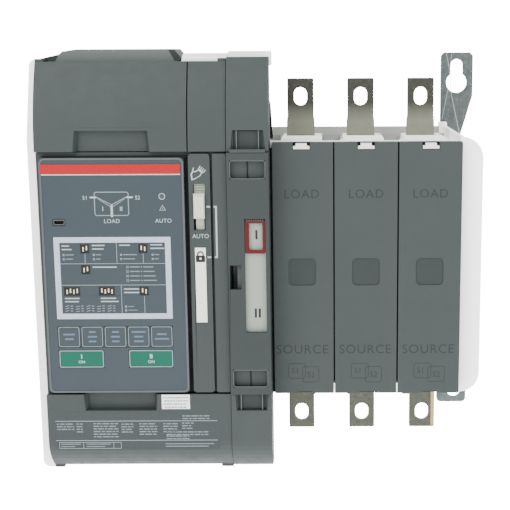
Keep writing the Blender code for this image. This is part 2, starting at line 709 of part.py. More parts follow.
def straight_bar(x, front, pad, half_width, end, flare):
    """Flat bar from its inner end to its pad (half width, far Z, near Z)."""
    pad_half, pad_far, pad_near = pad
    shoulder = pad_near - flare if pad_far > pad_near else pad_near + flare
    outline = [
        (x - half_width, end), (x - half_width, shoulder), (x - pad_half, pad_near),
        (x + pad_half, pad_near), (x + half_width, shoulder), (x + half_width, end),
    ]
    return prism("Y", outline, (front + PAD_STEP, front + TERMINAL_THICKNESS))


def cranked_bar(x, pad):
    """Source 1 bar: from its contact in the chamber it steps back to its pad (see straight_bar)."""
    inner_front = LOAD_TERMINAL_Y + PAD_STEP
    inner_back = LOAD_TERMINAL_Y + TERMINAL_THICKNESS
    outer_front = SOURCE_1_TERMINAL_Y + PAD_STEP
    outer_back = SOURCE_1_TERMINAL_Y + TERMINAL_THICKNESS
    step_low, step_high = -64.0, -60.0
    profile = [
        (inner_front, CONTACT_END), (inner_back, CONTACT_END), (inner_back, step_high),
        (outer_back, step_high), (outer_back, pad[2]), (outer_front, pad[2]),
        (outer_front, step_low), (inner_front, step_low),
    ]
    return prism("X", profile, (x - SOURCE_BAR_HALF, x + SOURCE_BAR_HALF))


def make_terminal(name, bar, x, front, pad, hole_inset):
    """A bar with its thicker connection pad and the oval hole in it."""
    pad_half, pad_far, pad_near = pad
    back = front + TERMINAL_THICKNESS
    out = 1 if pad_far > pad_near else -1
    item = part(name, "plated_copper", bar)
    low, high = sorted((pad_near - out * 1.0, pad_far))
    join(item, box((x - pad_half, x + pad_half), (front, back), (low, high), radius=0.8, segments=2))
    hole_z = pad_far - out * hole_inset
    half_width, half_height = TERMINAL_HOLE[0] / 2, TERMINAL_HOLE[1] / 2
    cut(item, box(
        (x - half_width, x + half_width), (front - 1, back + 1),
        (hole_z - half_height, hole_z + half_height), radius=half_width - 0.05, segments=6,
    ))


def make_terminals():
    """Load bars on top; below them straight source 2 bars in front and cranked source 1 bars behind."""
    load_pad = (9.6, 129.6, 102.7)
    source_pad = (SOURCE_HALF, -123.1, -97.0)
    for number, middle in enumerate(POLE_CENTRES, start=1):
        x = middle + TERMINAL_OFFSET
        bar = straight_bar(x, LOAD_TERMINAL_Y, load_pad, LOAD_BAR_HALF, -4.0, 4.3)
        make_terminal(f"load_terminal_{number}", bar, x, LOAD_TERMINAL_Y, load_pad, 13.1)
        bar = straight_bar(x, SOURCE_2_TERMINAL_Y, source_pad, SOURCE_BAR_HALF, CONTACT_END, 0.5)
        make_terminal(f"source_2_terminal_{number}", bar, x, SOURCE_2_TERMINAL_Y, source_pad, 11.5)
        bar = cranked_bar(x, source_pad)
        make_terminal(f"source_1_terminal_{number}", bar, x, SOURCE_1_TERMINAL_Y, source_pad, 11.5)


def make_ears():
    """Plated mounting ears behind the right-hand side of the pole base."""
    left = 135.8
    top = part("ear_top", "zinc_steel", prism("Y", [
        (left, 60.0), (left, 145.1), (left + 2.5, 147.6), (158.4, 147.6), (160.9, 145.1),
        (160.9, 114.0), (151.5, 82.0), (151.5, 60.0),
    ], (-2.2, 0.0)))
    hole_x = 148.2
    cut(top, cylinder("Y", (hole_x, 124.4), 8.0, (-4.0, 2.0), 32))
    cut(top, box((hole_x - 4.7, hole_x + 4.7), (-4.0, 2.0), (126.0, 142.5), radius=4.6, segments=5))
    bottom = part("ear_bottom", "zinc_steel", box(
        (136.0, 160.0), (-2.2, 0.0), (-136.4, -60.0), radius=3, segments=2,
    ))
    cut(bottom, cylinder("Y", (150.0, -126.6), 5.5, (-4.0, 2.0), 24))


clear_scene()
parts = make_collection("automatic_transfer_switch")
cutters = make_collection("cutters")
materials = {slot: make_material(slot) for slot in COLOURS}

make_drive_base()
make_top_hood()
make_drive_housing()
make_covers()
make_panel()
make_selector()
make_column()
make_inner_modules()
make_solenoid()
make_shaft()
make_pole_base()
make_pole_covers()
make_terminals()
make_ears()
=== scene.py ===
"""Looks of the automatic transfer switch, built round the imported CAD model.

Sizes are in millimetres in the frame of the CAD model and become metres where meshes are made.
"""

import json
from math import cos, pi, radians, sin

import bmesh
import bpy
from mathutils import Matrix, Vector


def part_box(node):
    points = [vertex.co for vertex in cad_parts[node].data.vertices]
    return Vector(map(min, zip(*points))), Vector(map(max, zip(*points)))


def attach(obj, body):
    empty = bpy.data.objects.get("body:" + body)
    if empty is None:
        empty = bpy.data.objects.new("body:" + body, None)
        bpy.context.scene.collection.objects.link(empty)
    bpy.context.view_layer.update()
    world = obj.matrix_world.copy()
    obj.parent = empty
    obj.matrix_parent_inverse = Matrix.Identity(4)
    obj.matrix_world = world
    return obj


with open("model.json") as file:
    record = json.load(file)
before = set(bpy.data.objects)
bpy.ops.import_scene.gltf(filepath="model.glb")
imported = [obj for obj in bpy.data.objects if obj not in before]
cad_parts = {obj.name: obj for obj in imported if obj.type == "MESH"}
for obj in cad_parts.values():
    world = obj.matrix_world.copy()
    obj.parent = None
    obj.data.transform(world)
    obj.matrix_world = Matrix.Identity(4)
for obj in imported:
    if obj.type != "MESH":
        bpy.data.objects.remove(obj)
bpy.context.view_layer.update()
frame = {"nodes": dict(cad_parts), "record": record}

MM = 0.001
ROOT = "switch_frame"
PRINT = 0.08                   # thickness of printed marks
LIFT = 0.02                    # how far a mark's back is sunk into what it is printed on
SHARP_ANGLE = 30               # edges of a piece turned by more degrees than this stay sharp
POLES = (1, 2, 3)
FIRST_POLE_X, POLE_PITCH = 29.0, 44.0
WALL_ENDS = (4.4, 134.6)       # left and right end of the sunken top of the pole base
TRAY_FLOOR = 83.5              # its floor


# ---------------------------------------------------------------- materials

class Nodes:
    """A new material with its Principled shader, and short ways to add nodes to it."""

    def __init__(self, name, roughness, metallic=0.0, specular=0.5):
        self.material = bpy.data.materials.new(name)
        self.material.use_nodes = True
        self.tree = self.material.node_tree
        self.shader = self.tree.nodes["Principled BSDF"]
        self.shader.inputs["Roughness"].default_value = roughness
        self.shader.inputs["Metallic"].default_value = metallic
        self.shader.inputs["Specular IOR Level"].default_value = specular
        self.place = self.tree.nodes.new("ShaderNodeTexCoord").outputs["Object"]

    def link(self, source, target):
        self.tree.links.new(source, target)

    def stretched(self, scale):
        mapping = self.tree.nodes.new("ShaderNodeMapping")
        mapping.inputs["Scale"].default_value = scale
        self.link(self.place, mapping.inputs["Vector"])
        return mapping.outputs["Vector"]

    def noise(self, scale, detail=3.0, roughness=0.5, place=None):
        node = self.tree.nodes.new("ShaderNodeTexNoise")
        node.inputs["Scale"].default_value = scale
        node.inputs["Detail"].default_value = detail
        node.inputs["Roughness"].default_value = roughness
        self.link(place or self.place, node.inputs["Vector"])
        return node.outputs["Fac"]

    def cells(self, scale):
        node = self.tree.nodes.new("ShaderNodeTexVoronoi")
        node.inputs["Scale"].default_value = scale
        self.link(self.place, node.inputs["Vector"])
        return node.outputs["Distance"]

    def ramp(self, factor, stops):
        node = self.tree.nodes.new("ShaderNodeValToRGB")
        ramp = node.color_ramp
        ramp.elements[0].position, first = stops[0]
        ramp.elements[0].color = (*first, 1.0)
        ramp.elements[1].position, last = stops[-1]
        ramp.elements[1].color = (*last, 1.0)
        for position, colour in stops[1:-1]:
            ramp.elements.new(position).color = (*colour, 1.0)
        self.link(factor, node.inputs["Fac"])
        return node.outputs["Color"]

    def spread(self, factor, low, high, start=0.3, end=0.7):
        node = self.tree.nodes.new("ShaderNodeMapRange")
        node.inputs["From Min"].default_value = start
        node.inputs["From Max"].default_value = end
        node.inputs["To Min"].default_value = low
        node.inputs["To Max"].default_value = high
        self.link(factor, node.inputs["Value"])
        return node.outputs["Result"]

    def mix(self, factor, first, second, mode="MIX"):
        node = self.tree.nodes.new("ShaderNodeMix")
        node.data_type = "RGBA"
        node.blend_type = mode
        if isinstance(factor, float):
            node.inputs["Factor"].default_value = factor
        else:
            self.link(factor, node.inputs["Factor"])
        self.link(first, node.inputs["A"])
        self.link(second, node.inputs["B"])
        return node.outputs["Result"]

    def height(self):
        node = self.tree.nodes.new("ShaderNodeSeparateXYZ")
        self.link(self.place, node.inputs["Vector"])
        return node.outputs["Z"]

    def bump(self, height, strength, distance):
        node = self.tree.nodes.new("ShaderNodeBump")
        node.inputs["Strength"].default_value = strength
        node.inputs["Distance"].default_value = distance
        self.link(height, node.inputs["Height"])
        self.link(node.outputs["Normal"], self.shader.inputs["Normal"])

    def colour(self, output):
        self.link(output, self.shader.inputs["Base Color"])

    def roughness(self, output):
        self.link(output, self.shader.inputs["Roughness"])


def scaled(colour, factor):
    return tuple(min(1.0, channel * factor) for channel in colour)


def moulded(name, colour, roughness, grain=1500.0, relief=0.25, variation=0.06, specular=0.15):
    """Moulded plastic: fine spark-eroded grain, slow cloudy colour change, uneven gloss."""
    nodes = Nodes(name, roughness, specular=specular)
    clouds = nodes.noise(14.0, 4.0, 0.6)
    nodes.colour(nodes.ramp(clouds, [
        (0.30, scaled(colour, 1 - variation)), (0.55, colour), (0.75, scaled(colour, 1 + variation)),
    ]))
    nodes.roughness(nodes.spread(nodes.noise(160.0, 3.0), roughness - 0.07, roughness + 0.07))
    nodes.bump(nodes.noise(grain, 2.0), relief, 0.00006)
    return nodes.material


def printed(name, colour, roughness=0.5):
    """Screen-printed ink with slight unevenness."""
    nodes = Nodes(name, roughness, specular=0.15)
    cover = nodes.noise(900.0, 2.0)
    nodes.colour(nodes.ramp(cover, [(0.25, scaled(colour, 0.86)), (0.6, colour)]))
    nodes.bump(nodes.noise(2500.0, 1.0), 0.1, 0.00003)
    return nodes.material


def plated(name, head, base, roughness, low=None, high=None):
    """Tin-plated copper bar: blotchy plating, smoother and warmer below the heights given."""
    nodes = Nodes(name, roughness, 1.0)
    spots = 420.0
    blotches = nodes.noise(spots, 5.0, 0.72)
    dull = nodes.ramp(blotches, [
        (0.30, scaled(head, 0.62)), (0.47, head), (0.58, scaled(head, 1.12)), (0.72, scaled(head, 1.7)),
    ])
    if low is None:
        nodes.colour(dull)
    else:
        smooth = nodes.ramp(nodes.noise(spots * 0.4, 3.0), [(0.35, scaled(base, 0.92)), (0.7, base)])
        nodes.colour(nodes.mix(nodes.spread(nodes.height(), 0.0, 1.0, low, high), smooth, dull))
    nodes.roughness(nodes.spread(blotches, roughness - 0.08, roughness + 0.12))
    nodes.bump(nodes.noise(spots * 3, 3.0), 0.12, 0.00008)
    return nodes.material


def zinc(name, colour, roughness):
    """Zinc-plated sheet: small spangles and faint drawing lines."""
    nodes = Nodes(name, roughness, 1.0)
    spangle = nodes.cells(330.0)
    lines = nodes.noise(60.0, 6.0, 0.7, nodes.stretched((18.0, 18.0, 1.0)))
    tone = nodes.ramp(spangle, [(0.0, scaled(colour, 1.25)), (0.5, colour), (1.0, scaled(colour, 0.8))])
    wear = nodes.ramp(lines, [(0.35, (0.75, 0.75, 0.75)), (0.6, (1.0, 1.0, 1.0))])
    nodes.colour(nodes.mix(1.0, tone, wear, "MULTIPLY"))
    nodes.roughness(nodes.spread(nodes.noise(240.0, 4.0), roughness - 0.08, roughness + 0.14))
    nodes.bump(lines, 0.15, 0.00006)
    return nodes.material


def machined(name, colour, roughness):
    """Turned or stamped metal with fine tool lines."""
    nodes = Nodes(name, roughness, 1.0)
    lines = nodes.noise(90.0, 5.0, 0.6, nodes.stretched((1.0, 30.0, 30.0)))
    nodes.colour(nodes.ramp(lines, [(0.3, scaled(colour, 0.8)), (0.65, scaled(colour, 1.1))]))
    nodes.roughness(nodes.spread(lines, roughness - 0.1, roughness + 0.1))
    nodes.bump(lines, 0.2, 0.00005)
    return nodes.material


GREY = (0.0240, 0.0300, 0.0292)
LIGHT = (0.88, 0.89, 0.865)
FILM = (0.0225, 0.0305, 0.0360)

MATERIALS = {
    "light_plastic": moulded("light_plastic", LIGHT, 0.5, variation=0.03),
    "grey_plastic": moulded("grey_plastic", GREY, 0.52),
    "panel_plastic": moulded("panel_plastic", FILM, 0.42, grain=2200.0, relief=0.12, variation=0.04),
    "green_plastic": moulded("green_plastic", (0.0002, 0.060, 0.036), 0.42, variation=0.05),
    "black_plastic": moulded("black_plastic", (0.012, 0.013, 0.014), 0.5, variation=0.2),
    "ivory_plastic": moulded("ivory_plastic", (0.185, 0.205, 0.178), 0.42, variation=0.03),
    "white_plastic": moulded("white_plastic", (0.53, 0.545, 0.48), 0.42, variation=0.02),
    "red_plastic": moulded("red_plastic", (0.052, 0.0028, 0.0026), 0.35, variation=0.15),
    "plated_copper": plated("plated_copper", (0.041, 0.041, 0.035), (0.185, 0.190, 0.150), 0.42,
                            low=0.098, high=0.112),
    "copper": machined("copper", (0.50, 0.21, 0.10), 0.35),
    "zinc_steel": zinc("zinc_steel", (0.083, 0.095, 0.095), 0.42),
    "dark_steel": machined("dark_steel", (0.085, 0.09, 0.094), 0.4),
    "board_laminate": moulded("board_laminate", (0.012, 0.070, 0.028), 0.35, grain=700.0),
}
EXTRA = {
    "edge_grey": moulded("edge_grey", (0.050, 0.059, 0.058), 0.5),
    "mark_white": printed("mark_white", (0.34, 0.37, 0.375)),
    "mark_pale": printed("mark_pale", (0.15, 0.18, 0.195)),
    "mark_soft": printed("mark_soft", (0.24, 0.27, 0.28)),
    "mark_faint": printed("mark_faint", (0.115, 0.140, 0.150)),
    "mark_blue": printed("mark_blue", (0.060, 0.090, 0.125)),
    "mark_black": printed("mark_black", (0.010, 0.011, 0.012)),
    "mark_grey": printed("mark_grey", (0.0115, 0.0155, 0.0155)),
    "stripe_red": printed("stripe_red", (0.245, 0.0045, 0.0070), 0.45),
    "label_white": printed("label_white", (0.275, 0.315, 0.375), 0.5),
    # darker grey: painted shade on the column covers' recess floors and the hood's end facets; also the
    # rims round the USB port and DIP switches and the pole covers' recesses
    "recess_grey": moulded("recess_grey", (0.0165, 0.0215, 0.0205), 0.6),
    "deep_black": moulded("deep_black", (0.004, 0.004, 0.004), 0.8),
    "lever_cream": moulded("lever_cream", (0.50, 0.43, 0.28), 0.4),
    "paper_white": printed("paper_white", (0.60, 0.62, 0.61), 0.6),
    "plate_film": printed("plate_film", (0.0235, 0.0300, 0.0305), 0.4),
    "bare_copper": moulded("bare_copper", (0.30, 0.225, 0.115), 0.45, variation=0.15),
    "plated_dull": plated("plated_dull", (0.050, 0.052, 0.042), (0.07, 0.07, 0.06), 0.42),
    # lighter copy of the grey plastic for the hood: painted light on its upward-facing slope
    "hood_lit_grey": moulded("hood_lit_grey", (0.068, 0.080, 0.076), 0.5),
    "knob_ivory": moulded("knob_ivory", (0.385, 0.395, 0.325), 0.4, variation=0.03),
    "column_grey": moulded("column_grey", (0.0185, 0.0235, 0.0228), 0.5),
    # greyer copy of the pale plastic: painted shade in the sunken top and the back pockets; also the
    # grey of seams and knock-out rings
    "seam_and_shade_grey": moulded("seam_and_shade_grey", (0.33, 0.34, 0.32), 0.6),
    # darker copy of the pale plastic: painted shade in troughs, louvres, vents, snap windows and screw
    # seats
    "painted_shade_dark": moulded("painted_shade_dark", (0.17, 0.175, 0.165), 0.6),
    "socket_grey": moulded("socket_grey", (0.050, 0.054, 0.052), 0.6),
    "lamp_lens": moulded("lamp_lens", (0.034, 0.044, 0.050), 0.2, relief=0.05),
}


# ---------------------------------------------------------------- shapes

class Box:
    """Limits of a CAD node in millimetres."""

    def __init__(self, node):
        low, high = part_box(node)
        self.x0, self.y0, self.z0 = (value / MM for value in low)
        self.x1, self.y1, self.z1 = (value / MM for value in high)
        self.x = (self.x0 + self.x1) / 2
        self.z = (self.z0 + self.z1) / 2


def pole_x(number):
    """Centre line of a pole."""
    return FIRST_POLE_X + POLE_PITCH * (number - 1)


def circle(x, z, radius, steps=24, start=0.0, turn=360.0):
    angles = [radians(start + turn * n / steps) for n in range(steps if turn == 360.0 else steps + 1)]
    return [(x + radius * cos(a), z + radius * sin(a)) for a in angles]


def rounded(x0, x1, z0, z1, radius):
    """Outline of a rectangle with round corners."""
    steps = 5
    corners = ((x1, z0, -90), (x1, z1, 0), (x0, z1, 90), (x0, z0, 180))
    outline = []
    for x, z, start in corners:
        centre_x = x - radius if x == x1 else x + radius
        centre_z = z - radius if z == z1 else z + radius
        outline += circle(centre_x, centre_z, radius, steps, start, 90.0)
    return outline


def thick_line(start, end, width):
    """Outline of a straight stroke."""
    along = (Vector(end) - Vector(start)).normalized() * width / 2
    side = Vector((-along.y, along.x))
    a, b = Vector(start), Vector(end)
    return [tuple(a + side), tuple(a - side), tuple(b - side), tuple(b + side)]


class Shape:
    """Solids collected into one mesh. Outlines are (X, Z) and depths are Y, unless turned."""

    def __init__(self):
        self.mesh = bmesh.new()

    def slab(self, outline, front, back, hole=None, chamfer=0.0):
        """An outline with some depth; a hole has as many points as the outline has."""
        part = bmesh.new()
        if hole is None:
            corners = [part.verts.new((x, front, z)) for x, z in outline]
            face = part.faces.new(corners)
            pushed = bmesh.ops.extrude_face_region(part, geom=[face], use_keep_orig=True)["geom"]
            moved = [item for item in pushed if isinstance(item, bmesh.types.BMVert)]
            bmesh.ops.translate(part, vec=(0, back - front, 0), verts=moved)
        else:
            rings = [
                [part.verts.new((x, y, z)) for x, z in loop]
                for loop, y in ((outline, front), (hole, front), (hole, back), (outline, back))
            ]
            count = len(outline)
            for ring, following in zip(rings, rings[1:] + rings[:1]):
                for n in range(count):
                    other = (n + 1) % count
                    part.faces.new((ring[n], ring[other], following[other], following[n]))
        bmesh.ops.recalc_face_normals(part, faces=part.faces)
        if chamfer:
            edges = [e for e in part.edges if all(abs(v.co.y - front) < 1e-6 for v in e.verts)]
            bmesh.ops.bevel(part, geom=edges, offset=chamfer, segments=2, profile=0.5,
                            affect="EDGES", clamp_overlap=True)
        return self.take(part)

    def plate(self, x0, x1, z0, z1, front, back, radius=0.0, chamfer=0.0):
        outline = rounded(x0, x1, z0, z1, radius) if radius else [(x0, z0), (x1, z0), (x1, z1), (x0, z1)]
        return self.slab(outline, front, back, chamfer=chamfer)

    def band(self, x0, x1, z0, z1, width, front, back, radius=0.0, chamfer=0.0):
        """A rectangular ring."""
        outer = rounded(x0, x1, z0, z1, max(radius, 0.01))
        inner = rounded(x0 + width, x1 - width, z0 + width, z1 - width, max(radius - width, 0.01))
        return self.slab(outer, front, back, hole=inner, chamfer=chamfer)

    def stroke(self, start, end, width, front, back):
        return self.slab(thick_line(start, end, width), front, back)

    def take(self, part):
        holder = bpy.data.meshes.new("holder")
        part.to_mesh(holder)
        part.free()
        self.mesh.from_mesh(holder)
        bpy.data.meshes.remove(holder)
        return self

    def text(self, words, x, z, height, front, spacing=1.0, weight=0.0):
        """Generic lettering, centred on a point; height is that of the capitals."""
        curve = bpy.data.curves.new("lettering", "FONT")
        curve.body = words
        curve.align_x = "CENTER"
        curve.align_y = "CENTER"
        curve.size = height / 0.72
        curve.space_character = spacing
        curve.offset = weight
        curve.extrude = (PRINT + LIFT) / 2
        curve.resolution_u = 3
        holder = bpy.data.objects.new("lettering", curve)
        bpy.context.scene.collection.objects.link(holder)
        depsgraph = bpy.context.evaluated_depsgraph_get()
        mesh = bpy.data.meshes.new_from_object(holder.evaluated_get(depsgraph))
        low = min(v.co.y for v in mesh.vertices)
        high = max(v.co.y for v in mesh.vertices)
        turn = Matrix.Rotation(radians(90), 4, "X")
        shift = Matrix.Translation((x, front + (PRINT + LIFT) / 2, z - (low + high) / 2))
        mesh.transform(shift @ turn)
        self.mesh.from_mesh(mesh)
        bpy.data.meshes.remove(mesh)
        bpy.data.objects.remove(holder)
        bpy.data.curves.remove(curve)
        return self

    def rows(self, x, top, widths, pitch, height, front):
        """Short bars that stand for lines of small print."""
        for number, width in enumerate(widths):
            z = top - number * pitch
            self.plate(x, x + width, z - height, z, front, front + PRINT)
        return self

    def piece(self, name, material, body=ROOT, turn=None):
        """The finished object, riding on a body of the CAD model."""
        mesh = bpy.data.meshes.new(name)
        bmesh.ops.remove_doubles(self.mesh, verts=self.mesh.verts, dist=1e-5)
        self.mesh.to_mesh(mesh)
        self.mesh.free()
        if turn is not None:
            mesh.transform(turn)
        mesh.transform(Matrix.Scale(MM, 4))
        mesh.shade_smooth()
        mesh.set_sharp_from_angle(angle=radians(SHARP_ANGLE))
        mesh.materials.append(EXTRA.get(material) or MATERIALS[material])
        item = bpy.data.objects.new(name, mesh)
        bpy.context.scene.collection.objects.link(item)
        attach(item, body)


def ink(front):
    """Front and back plane of a mark printed on a surface that faces the viewer."""
    return front - PRINT, front + LIFT


# ---------------------------------------------------------------- CAD nodes

# Width of a node's broken edges in millimetres, by the start of its name
EDGES = {"drive_base": 0.9, "pole_base": 0.8, "contact_shaft": 0.0, "usb_port": 0.1, "cover_clip": 0.3,
         "controller_board": 0.1, "drive_housing": 0.4, "dip_switch": 0.15, "drive_sector": 0.3,
         "moving_contact": 0.3, "indicator_frame": 0.35, "lock_bar": 0.5, "operator_panel": 0.35,
         "ear": 0.2, "load_terminal": 0.15, "source_1_terminal": 0.15, "source_2_terminal": 0.15,
         "column_top_cover": 0.5, "column_bottom_cover": 0.5,
         "pole_cover": 0.8, "top_hood": 1.5, "top_cover": 0.9, "bottom_cover": 0.9, "top_strip": 0.9,
         "column": 0.9, "selector_knob": 0.7, "selector_strip": 0.6, "plain_strip": 0.6}
OTHER_EDGES = 0.3

# Nodes with a finish that differs from that of their material slot
# the top hood's lighter grey is painted light on its upward-facing slope
OWN = {"top_hood": "hood_lit_grey", "selector_knob": "knob_ivory", "drive_sector": "socket_grey",
       "column_housing": "column_grey",
       **{f"source_{row}_terminal_{n}": "plated_dull" for row in (1, 2) for n in POLES}}


def finish_cad_nodes():
    """Give each CAD node its finish and break its edges."""
    usual = {entry["node"]: entry["material_slot"] for entry in frame["record"]["subparts"]}
    for name, node in frame["nodes"].items():
        node.data.materials.clear()
        node.data.materials.append(EXTRA[OWN[name]] if name in OWN else MATERIALS[usual[name]])
        width = next((EDGES[key] for key in EDGES if name.startswith(key)), OTHER_EDGES)
        if width:
            flat = node.modifiers.new("flat", "DECIMATE")
            flat.decimate_type = "DISSOLVE"
            flat.angle_limit = radians(1.0)
            edge = node.modifiers.new("edge", "BEVEL")
            edge.width = width * MM
            edge.segments = 3
            edge.limit_method = "ANGLE"
            edge.angle_limit = radians(32)
        node.data.shade_smooth()
        normals = node.modifiers.new("normals", "WEIGHTED_NORMAL")
        normals.keep_sharp = True


# ---------------------------------------------------------------- operator panel

def panel_surface():
    """Rim, dark joints and red stripe of the operator panel."""
    panel = Box("operator_panel")
    front = panel.y0
    left, right, low, high = panel.x0, panel.x1, panel.z0, panel.z1
    Shape().band(left + 0.2, right - 0.2, low + 0.2, high - 0.2, 1.3, front - 0.35, front + 0.1,
                 radius=4.0, chamfer=0.15).piece("panel_rim", "edge_grey")
    # dark joints round the panel: right of it and above it
    floor = Box("drive_housing").y0
    seam = Shape()
    seam.plate(right + 0.05, right + 2.2, low - 0.5, high + 1.2, floor - 0.4, floor + 0.1)
    seam.plate(left + 2.0, right + 2.2, high + 0.05, high + 0.9, floor - 2.6, floor + 0.1)
    seam.piece("panel_joint", "deep_black")

    stripe = Shape().plate(left + 0.9, right - 2.3, 69.2, 75.6, front - 0.42, front + LIFT)
    stripe.piece("panel_stripe", "stripe_red")
    Shape().plate(left + 1.6, right - 2.4, 68.4, 69.1, *ink(front)).piece("stripe_line", "mark_white")


def panel_diagram():
    """Single-line diagram: two sources, one load, and the lamps on its right."""
    front = Box("operator_panel").y0
    middle, low, high = -97.9, 41.0, 57.3
    half = 11.6
    Shape().band(middle - half, middle + half, low, high, 0.55, *ink(front), radius=1.6).piece(
        "diagram_box", "mark_pale")
    lines = Shape()
    for side in (-1, 1):
        end = middle + side * (half + 0.6)
        lines.plate(end - 2.3, end + 2.3, 52.95, 54.1, *ink(front - 0.02), radius=0.5)
        lines.stroke((end - side * 2.0, 53.8), (middle, 48.5), 0.3, *ink(front - 0.01))
        lines.stroke((end - side * 3.2, 52.6), (middle + side * 0.8, 47.2), 0.25, *ink(front - 0.01))
    lines.plate(middle - 0.75, middle + 0.75, low - 0.8, 48.3, *ink(front - 0.03), radius=0.3)
    lines.text("I", middle - 6.0, 45.8, 3.0, front - PRINT, weight=0.04)
    lines.text("II", middle + 6.3, 45.8, 3.0, front - PRINT, weight=0.04)
    lines.text("S1", middle - 17.6, 53.3, 2.7, front - PRINT)
    lines.text("S2", middle + 17.6, 53.3, 2.7, front - PRINT)
    lines.text("LOAD", middle - 0.2, 37.5, 2.8, front - PRINT, 1.05)
    lines.text("AUTO", -63.5, 37.6, 2.8, front - PRINT, 1.05)
    lines.piece("diagram_lines", "mark_soft")

    lamp_x, lamp_z = -64.1, 54.0
    Shape().slab(circle(lamp_x, lamp_z, 2.2), *ink(front), hole=circle(lamp_x, lamp_z, 1.75)).piece(
        "lamp_ring", "mark_soft")
    Shape().slab(circle(lamp_x, lamp_z, 1.5), front - 0.12, front + 0.1, chamfer=0.08).piece(
        "lamp_lens", "lamp_lens")
    x, z, size = -63.8, 45.8, 2.5
    outer = [(x + size * 1.12 * cos(a), z + size * 1.05 * sin(a))
             for a in (pi / 2, pi * 7 / 6, pi * 11 / 6)]
    inner = [(x + (px - x) * 0.68, z + (pz - z) * 0.68) for px, pz in outer]
    sign = Shape().slab(outer, *ink(front), hole=inner)
    sign.stroke((x, z + 0.7), (x, z - 0.3), 0.4, *ink(front))
    sign.slab(circle(x, z - 0.75, 0.2, 8), *ink(front))
    sign.piece("fault_sign", "mark_pale")


def panel_usb():
    """Rim and tongue of the USB port."""
    port = Box("usb_port")
    front = Box("operator_panel").y0
    Shape().band(port.x0 - 0.9, port.x1 + 0.9, port.z0 - 1.0, port.z1 + 1.0, 0.55, front - 0.12,
                 front + 0.05, radius=1.3, chamfer=0.06).piece("usb_rim", "recess_grey")
    inside = Shape().plate(port.x0 + 0.55, port.x1 - 0.55, port.z0 + 0.55, port.z1 - 0.55,
                           port.y0 + 3.5, port.y0 + 4.4)
    inside.plate(port.x - 2.6, port.x + 2.6, port.z + 0.1, port.z + 0.6, port.y0 + 0.5, port.y0 + 4.0)
    inside.piece("usb_tongue", "deep_black")


def setting_field():
    """Pale frame with thin dividers round the DIP switches, and bars for the small print."""
    front = Box("operator_panel").y0
    x0, x1, z0, z1 = -138.0, -59.2, -30.0, 26.6
    border = 3.8
    Shape().band(x0, x1, z0, z1, border, *ink(front), radius=0.5).piece("setting_frame", "label_white")
    inner_x0, inner_x1 = x0 + border, x1 - border
    upper, lower = 8.4, -6.4
    thin = 0.35
    lines = Shape()
    for z in (upper, lower):
        lines.plate(inner_x0, inner_x1, z - thin / 2, z + thin / 2, *ink(front))
    lines.plate(-95.9, -95.9 + thin, upper, z1 - border, *ink(front))
    lines.plate(-93.7, -93.7 + thin, z0 + border, lower, *ink(front))
    for number, end in ((1, upper), (2, upper), (4, z0 + border)):
        dip = Box(f"dip_switch_{number}")
        lines.plate(dip.x - thin / 2, dip.x + thin / 2, end, dip.z0 - 0.6, *ink(front))
    lines.piece("setting_lines", "mark_pale")

    words = Shape()
    bold, fine = 0.8, 0.5
    plane, back = front - PRINT, front + LIFT
    moved = Matrix.Translation((-1.3, 0, 0.4))
    for x, top, widths, pitch in (
        (-131.4, 20.6, (5.0, 6.6), 2.4), (-111.0, 20.9, (8.6, 7.8), 2.4),
        (-92.6, 21.0, (7.2,), 2.4), (-71.6, 21.2, (8.0, 9.4), 2.4), (-111.0, 6.0, (16.2,), 2.4),
        (-130.8, -15.6, (10.0, 9.4), 2.2), (-106.4, -15.6, (10.4, 12.0), 2.2),
        (-90.4, -9.2, (10.2, 10.2), 2.4),
    ):
        words.rows(x, top, widths, pitch, bold, plane)
    words.piece("setting_titles", "mark_soft", turn=moved)

    small = Shape()
    for x, width in ((-131.0, 5.6), (-110.6, 3.6), (-92.2, 9.4), (-70.9, 3.2)):
        for row in range(2):
            z = 14.8 - row * 2.9
            small.plate(x, x + 1.3, z - 1.5, z, plane, back)
            end = x + 2.0 + width * (1 - 0.15 * row)
            small.plate(x + 2.0, end, z - 1.0, z - 0.35, plane, back)
    for row in range(4):
        z = 6.4 - row * 3.1
        small.band(-88.4, -86.8, z - 1.6, z, 0.4, plane, back)
        for x, width in ((-86.0, 6.6), (-78.6, 1.0), (-76.8, 6.8 + 0.7 * row)):
            small.plate(x, x + width, z - 1.1, z - 0.4, plane, back)
    for column in range(5):
        x = -130.8 + column * 7.2
        for row in range(3):
            z = -20.7 - row * 1.7
            small.stroke((x, z - 1.1), (x + 2.6, z - 0.2 - 0.5 * (column % 2)), fine, plane, back)
            small.plate(x + 3.6, x + 5.2, z - 0.9, z - 0.3, plane, back)
    small.rows(-90.2, -21.0, (1.4, 1.4), 2.6, 1.6, plane)
    small.rows(-88.0, -21.5, (4.0, 6.2), 2.6, fine, plane)
    small.piece("setting_print", "mark_faint", turn=moved)


